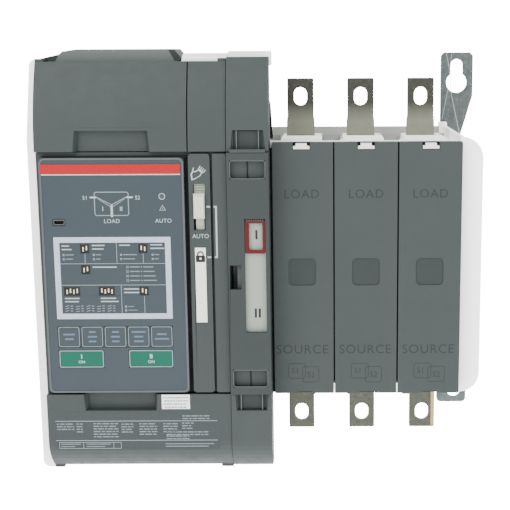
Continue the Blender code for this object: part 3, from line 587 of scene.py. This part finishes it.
def dip_levers():
    """Cream levers, each in a dark slot of its switch block."""
    for number in range(1, 7):
        dip = Box(f"dip_switch_{number}")
        ways = 4 if dip.x1 - dip.x0 > 7 else 2
        pitch = 2.3
        wells, levers = Shape(), Shape()
        for way in range(ways):
            x = dip.x + (way - (ways - 1) / 2) * pitch
            up = (way + number) % 2 == 0
            wells.plate(x - 0.6, x + 0.6, dip.z - 1.9, dip.z + 1.9, dip.y0 - 0.05, dip.y0 + 0.05)
            z = dip.z + (0.35 if up else -0.35)
            levers.plate(x - 0.4, x + 0.4, z - 1.5, z + 1.5, dip.y0 - 0.42, dip.y0 + 0.02,
                         radius=0.2, chamfer=0.1)
            levers.plate(x - 0.34, x + 0.34, z + (0.3 if up else -1.1), z + (1.1 if up else -0.3),
                         dip.y0 - 0.6, dip.y0 - 0.3, chamfer=0.1)
        wells.piece(f"dip_slots_{number}", "deep_black")
        levers.piece(f"dip_levers_{number}", "lever_cream")
        rim = Shape().band(dip.x0 - 0.35, dip.x1 + 0.35, dip.z0 - 0.35, dip.z1 + 0.35, 0.4,
                           dip.y0 - 0.55, dip.y0 - 0.3)
        rim.piece(f"dip_rim_{number}", "recess_grey")


KEY_LINES = {1: (8.0, 6.0), 2: (4.4, 6.2, 5.2), 3: (4.6, 6.2, 5.2), 4: (9.6, 6.4, 6.8), 5: (6.6, 9.6)}


def panel_keys():
    """Outlines and captions, moving with their keys."""
    for number, widths in KEY_LINES.items():
        key = Box(f"key_{number}")
        body = f"key_{number}"
        Shape().band(key.x0 + 0.15, key.x1 - 0.15, key.z0 + 0.15, key.z1 - 0.15, 0.5,
                     key.y0 - 0.22, key.y0 + 0.1, radius=1.5, chamfer=0.08).piece(
            f"key_outline_{number}", "mark_faint", body)
        caption = Shape()
        pitch = 3.3
        top = key.z + (len(widths) - 1) * pitch / 2 + 0.7
        for row, width in enumerate(widths):
            z = top - row * pitch
            caption.plate(key.x - width / 2, key.x + width / 2, z - 1.3, z, *ink(key.y0), radius=0.3)
        caption.piece(f"key_caption_{number}", "mark_blue", body)
    for number in (1, 2):
        key = Box(f"source_key_{number}")
        body = f"source_key_{number}"
        Shape().band(key.x0 + 0.1, key.x1 - 0.1, key.z0 + 0.1, key.z1 - 0.1, 0.6,
                     key.y0 - 0.22, key.y0 + 0.1, radius=1.2, chamfer=0.08).piece(
            f"source_outline_{number}", "mark_pale", body)
        label = Shape().text("I" * number, key.x, key.z + 1.7, 3.0, key.y0 - PRINT, weight=0.1)
        label.text("ON", key.x, key.z - 2.1, 2.1, key.y0 - PRINT)
        label.piece(f"source_label_{number}", "mark_white", body)


# ---------------------------------------------------------------- strips and column

def selector_details():
    """Marks on the selector strip, the knob's ribs and the padlock sign on its bar."""
    strip = Box("selector_strip")
    front = strip.y0
    knob = Box("selector_knob")
    bar = Box("lock_bar")
    middle = (strip.x0 + strip.x1) / 2

    marks = Shape().text("AUTO", middle + 0.1, 27.0, 2.9, front - PRINT, 1.0)
    # open hand: palm, thumb and four fingers as strokes
    palm = [(-43.9, 64.6), (-41.2, 65.6), (-38.0, 67.6), (-36.2, 70.2), (-38.6, 72.4), (-41.4, 70.8),
            (-43.2, 71.0), (-44.6, 68.8)]
    inner = [(middle - 1.9 + (x - middle + 1.9) * 0.74, 68.3 + (z - 68.3) * 0.72) for x, z in palm]
    marks.slab(palm, *ink(front), hole=inner)
    marks.stroke((-43.0, 71.0), (-42.4, 73.2), 0.7, *ink(front))
    for finger in range(4):
        x = -39.4 + finger * 1.15
        marks.stroke((x, 71.8 - finger * 0.7), (x + 1.5, 74.4 - finger * 0.9), 0.65, *ink(front - 0.02))
    marks.piece("selector_marks", "mark_soft")

    # line from the knob across to the plain strip and back to the padlock
    plain = Box("plain_strip")
    rail = plain.x0 + 2.5
    top, bottom, width = 46.9, 12.5, 1.1
    lines = Shape()
    for z in (top, bottom):
        lines.plate(strip.x1 - 2.7, strip.x1 - 0.3, z - width / 2, z + width / 2, *ink(front))
        lines.plate(plain.x0 + 0.5, rail, z - width / 2, z + width / 2, *ink(front))
    lines.plate(rail - width, rail, bottom, top, *ink(front - 0.01))
    lines.piece("selector_line", "mark_soft")

    ribs = Shape()
    for step in range(6):
        z = 57.0 + step * 1.75
        ribs.plate(knob.x0 + 0.5, knob.x1 - 0.5, z, z + 0.7, front + 3.8, front + 4.3)
    ribs.piece("selector_ribs", "ivory_plastic", "selector_knob")

    lock = Shape()
    x, z = bar.x, bar.z1 - 7.3
    face = bar.y0
    lock.plate(x - 3.15, x + 3.15, z - 2.6, z + 1.9, *ink(face), radius=0.5)
    lock.slab(circle(x, z + 2.7, 2.3, 16, 0, 180) + [(x - 2.3, z + 1.5), (x + 2.3, z + 1.5)], *ink(face),
              hole=circle(x, z + 2.7, 1.3, 16, 0, 180) + [(x - 1.3, z + 1.5), (x + 1.3, z + 1.5)])
    lock.piece("padlock_mark", "mark_black", "lock_bar")
    hole = Shape().slab(circle(x, z - 0.2, 0.75, 12), face - PRINT - 0.05, face + LIFT)
    hole.piece("padlock_keyhole", "white_plastic", "lock_bar")


def column_details():
    """Tongue, finger pockets, position marks, handle socket and indicator of the column."""
    column = Box("column_housing")
    front = column.y0
    top = Box("column_top_cover")
    tongue = Shape().plate(column.x0 + 2.2, column.x1 - 2.0, column.z1 - 0.3, top.z0 + 1.6,
                           front, front + 1.4, radius=0.3, chamfer=0.25)
    tongue.piece("column_tongue", "grey_plastic")

    middle = -6.7                  # line between the two pads of a finger pocket
    for name, low, high in (("upper", 65.6, 78.1), ("lower", -78.1, -65.6)):
        pads = Shape()
        for left, right in ((-18.2, middle - 0.35), (middle + 0.35, 5.2)):
            pads.plate(left, right, low + 0.3, high - 0.3, front + 4.2, front + 7.9, 1.2, 0.6)
        pads.piece(f"pocket_pads_{name}", "grey_plastic")
        Shape().plate(middle - 0.3, middle + 0.3, low + 0.1, high - 0.1, front + 3.6, front + 7.9).piece(
            f"pocket_line_{name}", "deep_black")
        Shape().band(-18.5, 5.5, low, high, 0.5, front + 0.15, front + 1.2, radius=2.0,
                     chamfer=0.1).piece(f"pocket_rim_{name}", "edge_grey")

    strip = Box("indicator_strip")
    signs = Shape()
    signs.plate(-2.0, -0.6, 24.6, 31.0, *ink(strip.y0))
    for x in (-2.5, 0.2):
        signs.plate(x - 0.7, x + 0.7, -29.6, -23.2, *ink(strip.y0))
    signs.piece("position_marks", "mark_black")
    Shape().plate(column.x0 + 1.3, -15.0, -20.0, 20.0, -123.8, -123.2).piece(
        "socket_back", "label_white")
    slide = Box("indicator_frame")
    teeth = Shape()
    for tooth in range(8):
        x = slide.x0 + 1.2 + tooth * 1.5
        teeth.plate(x, x + 0.7, slide.z1 - 1.2, slide.z1 - 0.2, slide.y0 - 0.2, slide.y0 + 0.1)
    teeth.piece("indicator_teeth", "edge_grey", "indicator_frame")
    shade = Shape().plate(slide.x0 + 0.4, slide.x1 - 0.4, slide.z1 - 1.25, slide.z1 - 0.05,
                          slide.y0 - 0.06, slide.y0 + 0.05)
    shade.piece("indicator_shade", "deep_black", "indicator_frame")
    # black plate painted as the shade on the side of the duct above the column, behind its top cover
    Shape().slab([(5.0, 88.8), (5.0, 121.0), (7.3, 113.0), (8.6, 88.8)], -100.4, -99.8).piece(
        "duct_side_shade", "deep_black")


# ---------------------------------------------------------------- covers

def cover_details():
    """Ribs, floors and sides of the finger recesses in the narrow covers; the floors are a darker grey
    as painted shade.
    """
    for name, side in (("column_top_cover", 1), ("column_bottom_cover", -1)):
        cover = Box(name)
        front = cover.y0
        ribs = Shape()
        low, high = sorted((side * 84.0, 97.5 if side > 0 else -95.1))
        for x in (-13.6, 1.1):
            ribs.plate(x - 0.35, x + 0.35, low, high, front + 1.0, front + 3.3, chamfer=0.15)
        ribs.piece(f"{name}_ribs", "edge_grey", name)
        # darker recess floor: painted shade of the recess
        Shape().plate(-16.6, 4.4, low + 0.2, high - 0.3, front + 3.0, front + 5.45).piece(
            f"{name}_recess_floor_shade", "recess_grey", name)
        flanks = Shape()
        for left, right in ((-17.6, -16.0), (3.8, 5.4)):
            flanks.plate(left, right, low + 0.1, high - 0.3, front + 1.5, front + 4.0, chamfer=0.4)
        flanks.piece(f"{name}_recess_sides", "column_grey", name)


def inventory_sticker():
    """Paper label with rows of grey specks."""
    front = Box("bottom_cover").y0
    x0, x1, z0, z1 = -68.6, -49.2, -94.3, -84.1
    Shape().plate(x0, x1, z0, z1, front - 0.06, front + 0.1).piece(
        "inventory_sticker", "paper_white", "bottom_cover")
    specks = Shape()
    for row in range(4):
        z = z1 - 1.6 - row * 2.3
        x = x0 + 1.0 + (row * 0.7) % 1.3
        while x < x1 - 2.2:
            width = 0.7 + (x * 7.3 + row * 3.1) % 1.3
            specks.plate(x, min(x + width, x1 - 0.8), z - 1.0, z, front - 0.1, front - 0.05)
            x += width + 0.5
    specks.piece("sticker_specks", "mark_pale", "bottom_cover")


# Blocks of small print on the rating plate: left, right, top, number of rows
PLATE_BLOCKS = (
    (-142.0, -130.0, -104.6, 3), (-128.4, -124.0, -104.6, 4), (-116.6, -99.4, -104.4, 6),
    (-97.2, -88.9, -104.8, 4), (-84.7, -72.4, -104.6, 5), (-68.1, -58.0, -104.6, 4),
    (-55.0, -47.0, -104.2, 3), (-66.0, -37.0, -110.6, 2), (-66.0, -50.0, -113.6, 2),
    (-54.6, -35.8, -99.0, 2),
)


def rating_plate():
    """Dark film with two rules and a small table; plain bars stand for the ratings."""
    front = Box("bottom_cover").y0
    film = front - 0.05
    Shape().plate(-143.4, -29.4, -123.4, -96.6, film, front + 0.1, radius=1.0).piece(
        "rating_plate", "plate_film", "bottom_cover")
    top_of_print, back = film - 0.06, film + LIFT
    left_end, right_end, low, high = -140.8, -97.8, -122.8, -118.4
    rules = Shape()
    for z in (-102.9, -117.0):
        rules.plate(-143.0, -30.6, z - 0.14, z + 0.14, top_of_print, back)
    for z in (high, low):
        rules.plate(left_end, right_end, z - 0.1, z + 0.1, top_of_print, back)
    for x in (left_end, -124.0, -103.0, right_end):
        rules.plate(x - 0.1, x + 0.1, low, high, top_of_print, back)
    rules.piece("plate_rules", "mark_soft", "bottom_cover")
    fields = Shape()
    for block, (left, right, top, rows) in enumerate(PLATE_BLOCKS):
        for row in range(rows):
            z = top - row * 1.9
            x = left
            word = 0
            while x < right - 1.0:
                width = min(1.6 + (block * 5 + row * 3 + word * 7) % 5 * 0.8, right - x)
                fields.plate(x, x + width, z - 0.75, z, top_of_print, back)
                x += width + 0.7
                word += 1
    for left, right in ((-139.6, -126.0), (-122.0, -105.0), (-66.8, -33.0)):
        for row in range(2):
            z = -119.3 - row * 1.8
            fields.plate(left, right - 4.0 * row, z - 0.6, z, top_of_print, back)
    fields.piece("plate_print", "mark_faint", "bottom_cover")


def pole_details():
    """Words, recess and tab outlines of each pole cover, and the dark seat of its clip."""
    for number in POLES:
        cover = Box(f"pole_cover_{number}")
        x = pole_x(number)
        front = cover.y0
        words = Shape().text("LOAD", x, 53.3, 6.1, front - 0.02, 1.12)
        words.text("SOURCE", x - 0.4, -56.1, 6.6, front - 0.02, 1.08)
        words.piece(f"cover_words_{number}", "mark_grey")
        Shape().plate(x - 9.3, x + 9.3, -10.3, 8.3, front + 0.45, front + 0.7, radius=2.8).piece(
            f"cover_recess_{number}", "recess_grey")
        tabs = Shape()
        tabs.band(x - 10.4, x + 2.0, -77.4, -66.3, 0.45, front - 0.03, front + 0.1, radius=1.8)
        tabs.band(x - 0.5, x + 11.4, -80.2, -68.6, 0.45, front - 0.03, front + 0.1, radius=1.8)
        tabs.text("S1", x - 5.4, -71.6, 4.2, front - 0.02)
        tabs.text("S2", x + 5.6, -74.6, 4.2, front - 0.02)
        tabs.piece(f"cover_tabs_{number}", "mark_grey")
        clip = Box(f"cover_clip_{number}")
        seat = Shape().plate(clip.x0 - 0.3, clip.x1 + 0.3, clip.z0 - 0.35, clip.z1 + 0.3,
                             clip.y1 - 0.6, clip.y1 - 0.1)
        seat.piece(f"clip_seat_{number}", "deep_black")


def pole_ribs():
    """White ribs of the base between the covers, and the dark joints between and beside them."""
    covers = [Box(f"pole_cover_{number}") for number in POLES]
    ribs, joints = Shape(), Shape()
    for left, right in zip(covers, covers[1:]):
        x = (left.x1 + right.x0) / 2
        ribs.plate(x - 0.42, x + 0.42, -88.0, -81.0, left.y0 + 0.3, -120.0, chamfer=0.1)
        joints.plate(x - 0.45, x + 0.45, -80.9, 88.0, -123.0, -120.1)
    ribs.piece("pole_ribs", "light_plastic")
    near, far = covers[0].x0, covers[-1].x1
    joints.plate(far + 0.1, far + 0.8, -87.5, 87.5, -120.9, -119.9)
    joints.plate(near - 1.4, near - 0.1, -88.0, 84.0, -127.0, -119.9)
    joints.piece("pole_joints", "deep_black")


def tray_details():
    """Greyer plates and curved dark pieces that imitate shade and troughs in the sunken top."""
    wall = Shape()
    wall.plate(*WALL_ENDS, 83.6, 91.0, -8.6, -8.2)
    for front, back in ((-115.5, -91.5), (-41.5, -8.4)):
        wall.plate(*WALL_ENDS, TRAY_FLOOR, TRAY_FLOOR + 0.12, front, back)
    wall.piece("tray_shade", "seam_and_shade_grey")
    troughs = Shape()
    collars = [(pole_x(number) - 16.5, pole_x(number) + 12.1) for number in POLES]
    gaps = [(WALL_ENDS[0], collars[0][0])] + [(a[1], b[0]) for a, b in zip(collars, collars[1:])]
    for left, right in gaps + [(collars[2][1], 131.0)]:
        middle = (left + right) / 2
        half = (right - left) / 2 - 0.2
        arch = [(middle + half * cos(radians(a)), 88.4 - half * 0.62 * sin(radians(a)))
                for a in range(0, 181, 15)]
        # dark arches and strips: painted shade in the troughs between the collars
        troughs.slab(arch, -58.6, -58.0)
        troughs.plate(left + 0.1, right - 0.1, 83.7, 87.2, -57.9, -57.0)
    troughs.piece("tray_trough_shade", "painted_shade_dark")


def terminal_details():
    """Bare copper edge of the last front terminal, and dark grey plates behind the covers' notches."""
    bar = Box("source_2_terminal_3")
    strip = Shape().plate(bar.x1 - 2.6, bar.x1 + 0.02, bar.z0 + 1.2, -93.0,
                          bar.y0 - 0.05, bar.y0 + 0.4)
    strip.piece("bare_edge", "bare_copper")
    # dark grey plates where the white base would show through the notches
    notch_plates = Shape()
    for number in POLES:
        x = pole_x(number)
        notch_plates.plate(x - 6.2, x + 7.0, -90.5, -82.0, -120.12, -119.9)
        notch_plates.plate(x - 6.2, x + 7.0, -90.56, -90.4, -120.1, -110.0)
    notch_plates.piece("notch_dark_plates", "mark_grey")


def ear_scratches():
    """Scratches on the upper ear."""
    ear = Box("ear_top")
    lines = Shape()
    points = ((140.0, 147.0), (143.4, 131.0), (144.0, 117.0), (151.6, 83.0))
    for start, end in zip(points, points[1:]):
        lines.stroke(start, end, 0.45, ear.y0 - 0.06, ear.y0 + 0.05)
    for start, end in (((144.2, 146.8), (141.4, 118.0)), ((141.4, 118.0), (137.4, 96.0))):
        lines.stroke(start, end, 0.35, ear.y0 - 0.05, ear.y0 + 0.05)
    lines.piece("ear_scratches", "mark_soft")


def hood_details():
    """Facets at both ends of the hood, in a darker grey that is painted shade."""
    front = Box("top_hood").y0
    ends = Shape()
    for outline in (
        [(-146.2, 143.0), (-146.2, 144.8), (-134.8, 147.2), (-137.0, 143.0)],
        [(-56.2, 143.0), (-60.6, 150.6), (-56.7, 150.7), (-52.2, 145.5), (-54.3, 143.0)],
    ):
        ends.slab(outline, front - 0.05, front + 0.3)
    # darker facets: painted shade at both ends of the hood
    ends.piece("hood_end_shade", "recess_grey")


# ---------------------------------------------------------------- sides, back, top and bottom

def slots(shape, count, first, step, size, at):
    """Rows of slots, one below the other; `at` gives the box of a slot from its lowest height."""
    for row in range(count):
        low = first + row * step
        shape.plate(*at(low, low + size))


def screw(x, z, back):
    """Screw seen from behind: dark seat painted as the shade of its recess, plated head and cross."""
    radius, half = 3.4, 0.3
    arm = radius * 0.4
    seat = Shape().slab(circle(x, z, radius, 28), back - 0.3, back + 0.05)
    # dark ring: painted shade round the screw head
    seat.piece("screw_seat_shade", "painted_shade_dark")
    head = Shape().slab(circle(x, z, radius * 0.72, 28), back - 0.3, back + 0.12)
    head.piece("screw_head", "zinc_steel")
    cross = Shape().plate(x - arm, x + arm, z - half, z + half, back, back + 0.16)
    cross.plate(x - half, x + half, z - arm, z + arm, back, back + 0.16)
    cross.piece("screw_cross", "deep_black")


def drive_side():
    """Flat inlays for louvres, seams and snap windows on the left side of the drive base; the dark
    inlays are painted shade in the openings of the louvres and snap windows.
    """
    wall = Box("drive_base").x0
    inside = wall + 0.1
    step, opening, lip = 5.6, 2.2, 0.5
    dark, pale = Shape(), Shape()
    for y0, y1 in ((-92.0, -58.0), (-50.0, -16.0)):
        for middle in (52.0, -62.0):
            slots(dark, 9, middle - 28.0, step, opening,
                  lambda a, b: (wall - 0.05, inside, a, b, y0, y1))
            slots(pale, 9, middle - 25.8, step, lip,
                  lambda a, b: (wall - 0.08, inside, a, b, y0, y1))
    for z in (-118.0, -40.0, 40.0):
        dark.plate(wall - 0.05, inside, z - 5.0, z + 5.0, -113.5, -110.0)
    # dark louvre and snap window inlays: painted shade
    dark.piece("drive_louvre_shade", "painted_shade_dark")
    pale.piece("louvre_lips", "light_plastic")
    lines = Shape()
    for z in (-130.0, 84.0):
        lines.plate(wall - 0.04, inside, z - 0.3, z + 0.3, -116.0, -6.0)
    for y in (-105.5, -6.3):
        lines.plate(wall - 0.04, inside, -130.0, 84.0, y, y + 0.6)
    lines.piece("side_seams", "seam_and_shade_grey")


def drive_top_and_bottom():
    """Flat inlays for louvres and knock-outs in the top and bottom of the drive base; the dark louvre
    inlays are painted shade in the openings.
    """
    top, bottom = (144.5, 144.66), (-143.26, -143.1)
    step, width = 6.4, 2.4
    dark, rings = Shape(), Shape()
    for n in range(13):
        x = -142.0 + step * n
        dark.plate(x, x + width, *top, -62.0, -22.0)
        dark.plate(x, x + width, *bottom, -80.0, -30.0)
    for n in range(6):
        x = -44.0 + step * n
        dark.plate(x, x + width, *top, -46.0, -14.0)
    # dark louvre inlays: painted shade
    dark.piece("top_louvre_shade", "painted_shade_dark")
    for x, y in ((-24.0, -78.0), (-46.0, -14.0), (-46.0, -98.0)):
        for radius in (8.0, 5.2):
            ring = circle(x, y, radius)
            for start, end in zip(ring, ring[1:] + ring[:1]):
                (x0, x1), (y0, y1) = map(sorted, zip(start, end))
                rings.plate(x0, x1 + 0.3, -143.25, -143.1, y0, y1 + 0.3)
    rings.piece("knock_outs", "seam_and_shade_grey")


def drive_back():
    """Flat inlays for the pockets in the back, greyer as painted shade in the pockets, with bands,
    ejector marks and screws.
    """
    inside = -0.2
    width, height, border = 30.6, 38.6, 0.5
    pockets, lips, marks = Shape(), Shape(), Shape()
    for column in range(4):
        for row in range(6):
            x0, z0 = -150.0 + 35.6 * column, -132.0 + 44.0 * row
            x1, z1 = x0 + width, z0 + height
            pockets.plate(x0, x1, z0, z1, inside, 0.03, radius=2.0)
            lips.band(x0 - border, x1 + border, z0 - border, z1 + border, 0.9, inside, 0.06,
                      radius=2.4)
            marks.slab(circle(x0 + width / 2, z0 + height / 2, 2.4, 20), inside, 0.05)
    # greyer pocket inlays: painted shade
    pockets.piece("back_pocket_shade", "seam_and_shade_grey")
    lips.piece("back_ribs", "light_plastic")
    marks.piece("ejector_marks", "light_plastic")
    for x in (-153.6, -8.4):
        for z in (-137.0, 0.0, 137.0):
            screw(x + (4.0 if z > 100 and x < -100 else 0.0), z, 0.0)


def pole_sides():
    """Ribs on the pole base, and flat inlays for its vents and the seams between its phases; the dark
    vent inlays are painted shade in the openings.
    """
    base = Box("pole_base")
    side, back = 141.2, -2.5
    opening = 2.6
    ribs, dark, seams = Shape(), Shape(), Shape()
    for y in (-108.0, -78.0, -48.0, -18.0):
        ribs.plate(side - 0.3, side + 1.1, -84.0, 80.0, y - 0.9, y + 0.9, chamfer=0.2)
    for z in (-84.0, -2.0, 78.5):
        ribs.plate(side - 0.3, side + 1.1, z, z + 1.8, -108.0, -18.0, chamfer=0.2)
    for y0 in (-74.0, -44.0):
        for first in (24.0, -66.0):
            slots(dark, 7, first, 6.4, opening,
                  lambda a, b: (side - 0.1, side + 0.12, a, b, y0, y0 + 22.0))
    for number in POLES:
        x = pole_x(number) - 1.8
        if number > 1:
            seams.plate(x - 22.4, x - 21.6, base.z0 + 1.0, 90.0, back - 0.1, back + 0.08)
        for low, high in ((-84.0, -8.0), (8.0, 82.0)):
            ribs.band(x - 17.0, x + 17.0, low, high, 1.4, back - 0.2, back + 1.0,
                      radius=3.0, chamfer=0.2)
        for first in (-66.0, 28.0):
            slots(dark, 6, first, 7.0, opening,
                  lambda a, b: (x - 11.0, x + 11.0, a, b, back - 0.1, back + 0.12))
        screw(x, 0.0, back)
        if number > 1:
            ribs.plate(x - 23.2, x - 20.8, base.z0 - 3.0, base.z0 + 0.3, -112.0, -10.0, chamfer=0.3)
    ribs.piece("pole_base_ribs", "light_plastic")
    # dark vent inlays: painted shade
    dark.piece("pole_base_vent_shade", "painted_shade_dark")
    seams.piece("phase_seams", "seam_and_shade_grey")


# ---------------------------------------------------------------- stage

SEEN_WHITE = 16.0              # strength of the surroundings where the camera sees them directly
ROOM_LIGHT = 1.25
FLOOR_GLOW = 3.0


def white_when_seen(tree, socket, usual, seen):
    """One strength for the light a surface gives, another where the camera looks straight at it."""
    path = tree.nodes.new("ShaderNodeLightPath")
    choice = tree.nodes.new("ShaderNodeMapRange")
    choice.inputs["To Min"].default_value = usual
    choice.inputs["To Max"].default_value = seen
    tree.links.new(path.outputs["Is Camera Ray"], choice.inputs["Value"])
    tree.links.new(choice.outputs["Result"], socket)


def stage():
    """Pale floor far below the wall-mounted switch, soft lights and the camera."""
    bpy.ops.mesh.primitive_plane_add(size=60.0, location=(0.0, 20.0, -0.75))
    floor = bpy.context.object
    floor.name = "floor"
    paint = bpy.data.materials.new("floor_paint")
    paint.use_nodes = True
    shader = paint.node_tree.nodes["Principled BSDF"]
    shader.inputs["Base Color"].default_value = (0.9, 0.9, 0.9, 1.0)
    shader.inputs["Roughness"].default_value = 0.9
    shader.inputs["Emission Color"].default_value = (1.0, 1.0, 1.0, 1.0)
    white_when_seen(paint.node_tree, shader.inputs["Emission Strength"], FLOOR_GLOW, SEEN_WHITE)
    floor.data.materials.append(paint)

    world = bpy.data.worlds.new("studio")
    world.use_nodes = True
    background = world.node_tree.nodes["Background"]
    background.inputs["Color"].default_value = (1.0, 1.0, 1.0, 1.0)
    white_when_seen(world.node_tree, background.inputs["Strength"], ROOM_LIGHT, SEEN_WHITE)
    bpy.context.scene.world = world

    for name, place, size, power in (
        ("key_light", (-0.9, -1.6, 1.3), 1.4, 60.0),
        ("fill_light", (1.3, -1.5, 0.5), 1.4, 26.0),
        ("top_light", (0.0, -0.3, 1.6), 1.2, 24.0),
    ):
        data = bpy.data.lights.new(name, "AREA")
        data.size = size
        data.energy = power
        lamp = bpy.data.objects.new(name, data)
        lamp.location = place
        lamp.rotation_euler = (Vector((0, -0.06, 0)) - Vector(place)).to_track_quat("-Z", "Y").to_euler()
        bpy.context.scene.collection.objects.link(lamp)

    camera_data = bpy.data.cameras.new("camera")
    camera_data.lens = 77.65
    camera_data.shift_x = -0.139
    camera = bpy.data.objects.new("camera", camera_data)
    camera.location = (0.046, -0.875, 0.149)
    camera.rotation_euler = (radians(79.5), radians(0.25), 0.0)
    bpy.context.scene.collection.objects.link(camera)
    bpy.context.scene.camera = camera


stage()
finish_cad_nodes()
panel_surface()
panel_diagram()
panel_usb()
setting_field()
dip_levers()
panel_keys()
selector_details()
column_details()
cover_details()
inventory_sticker()
rating_plate()
pole_details()
pole_ribs()
terminal_details()
ear_scratches()
tray_details()
hood_details()
drive_side()
drive_top_and_bottom()
drive_back()
pole_sides()

bpy.context.view_layer.update()
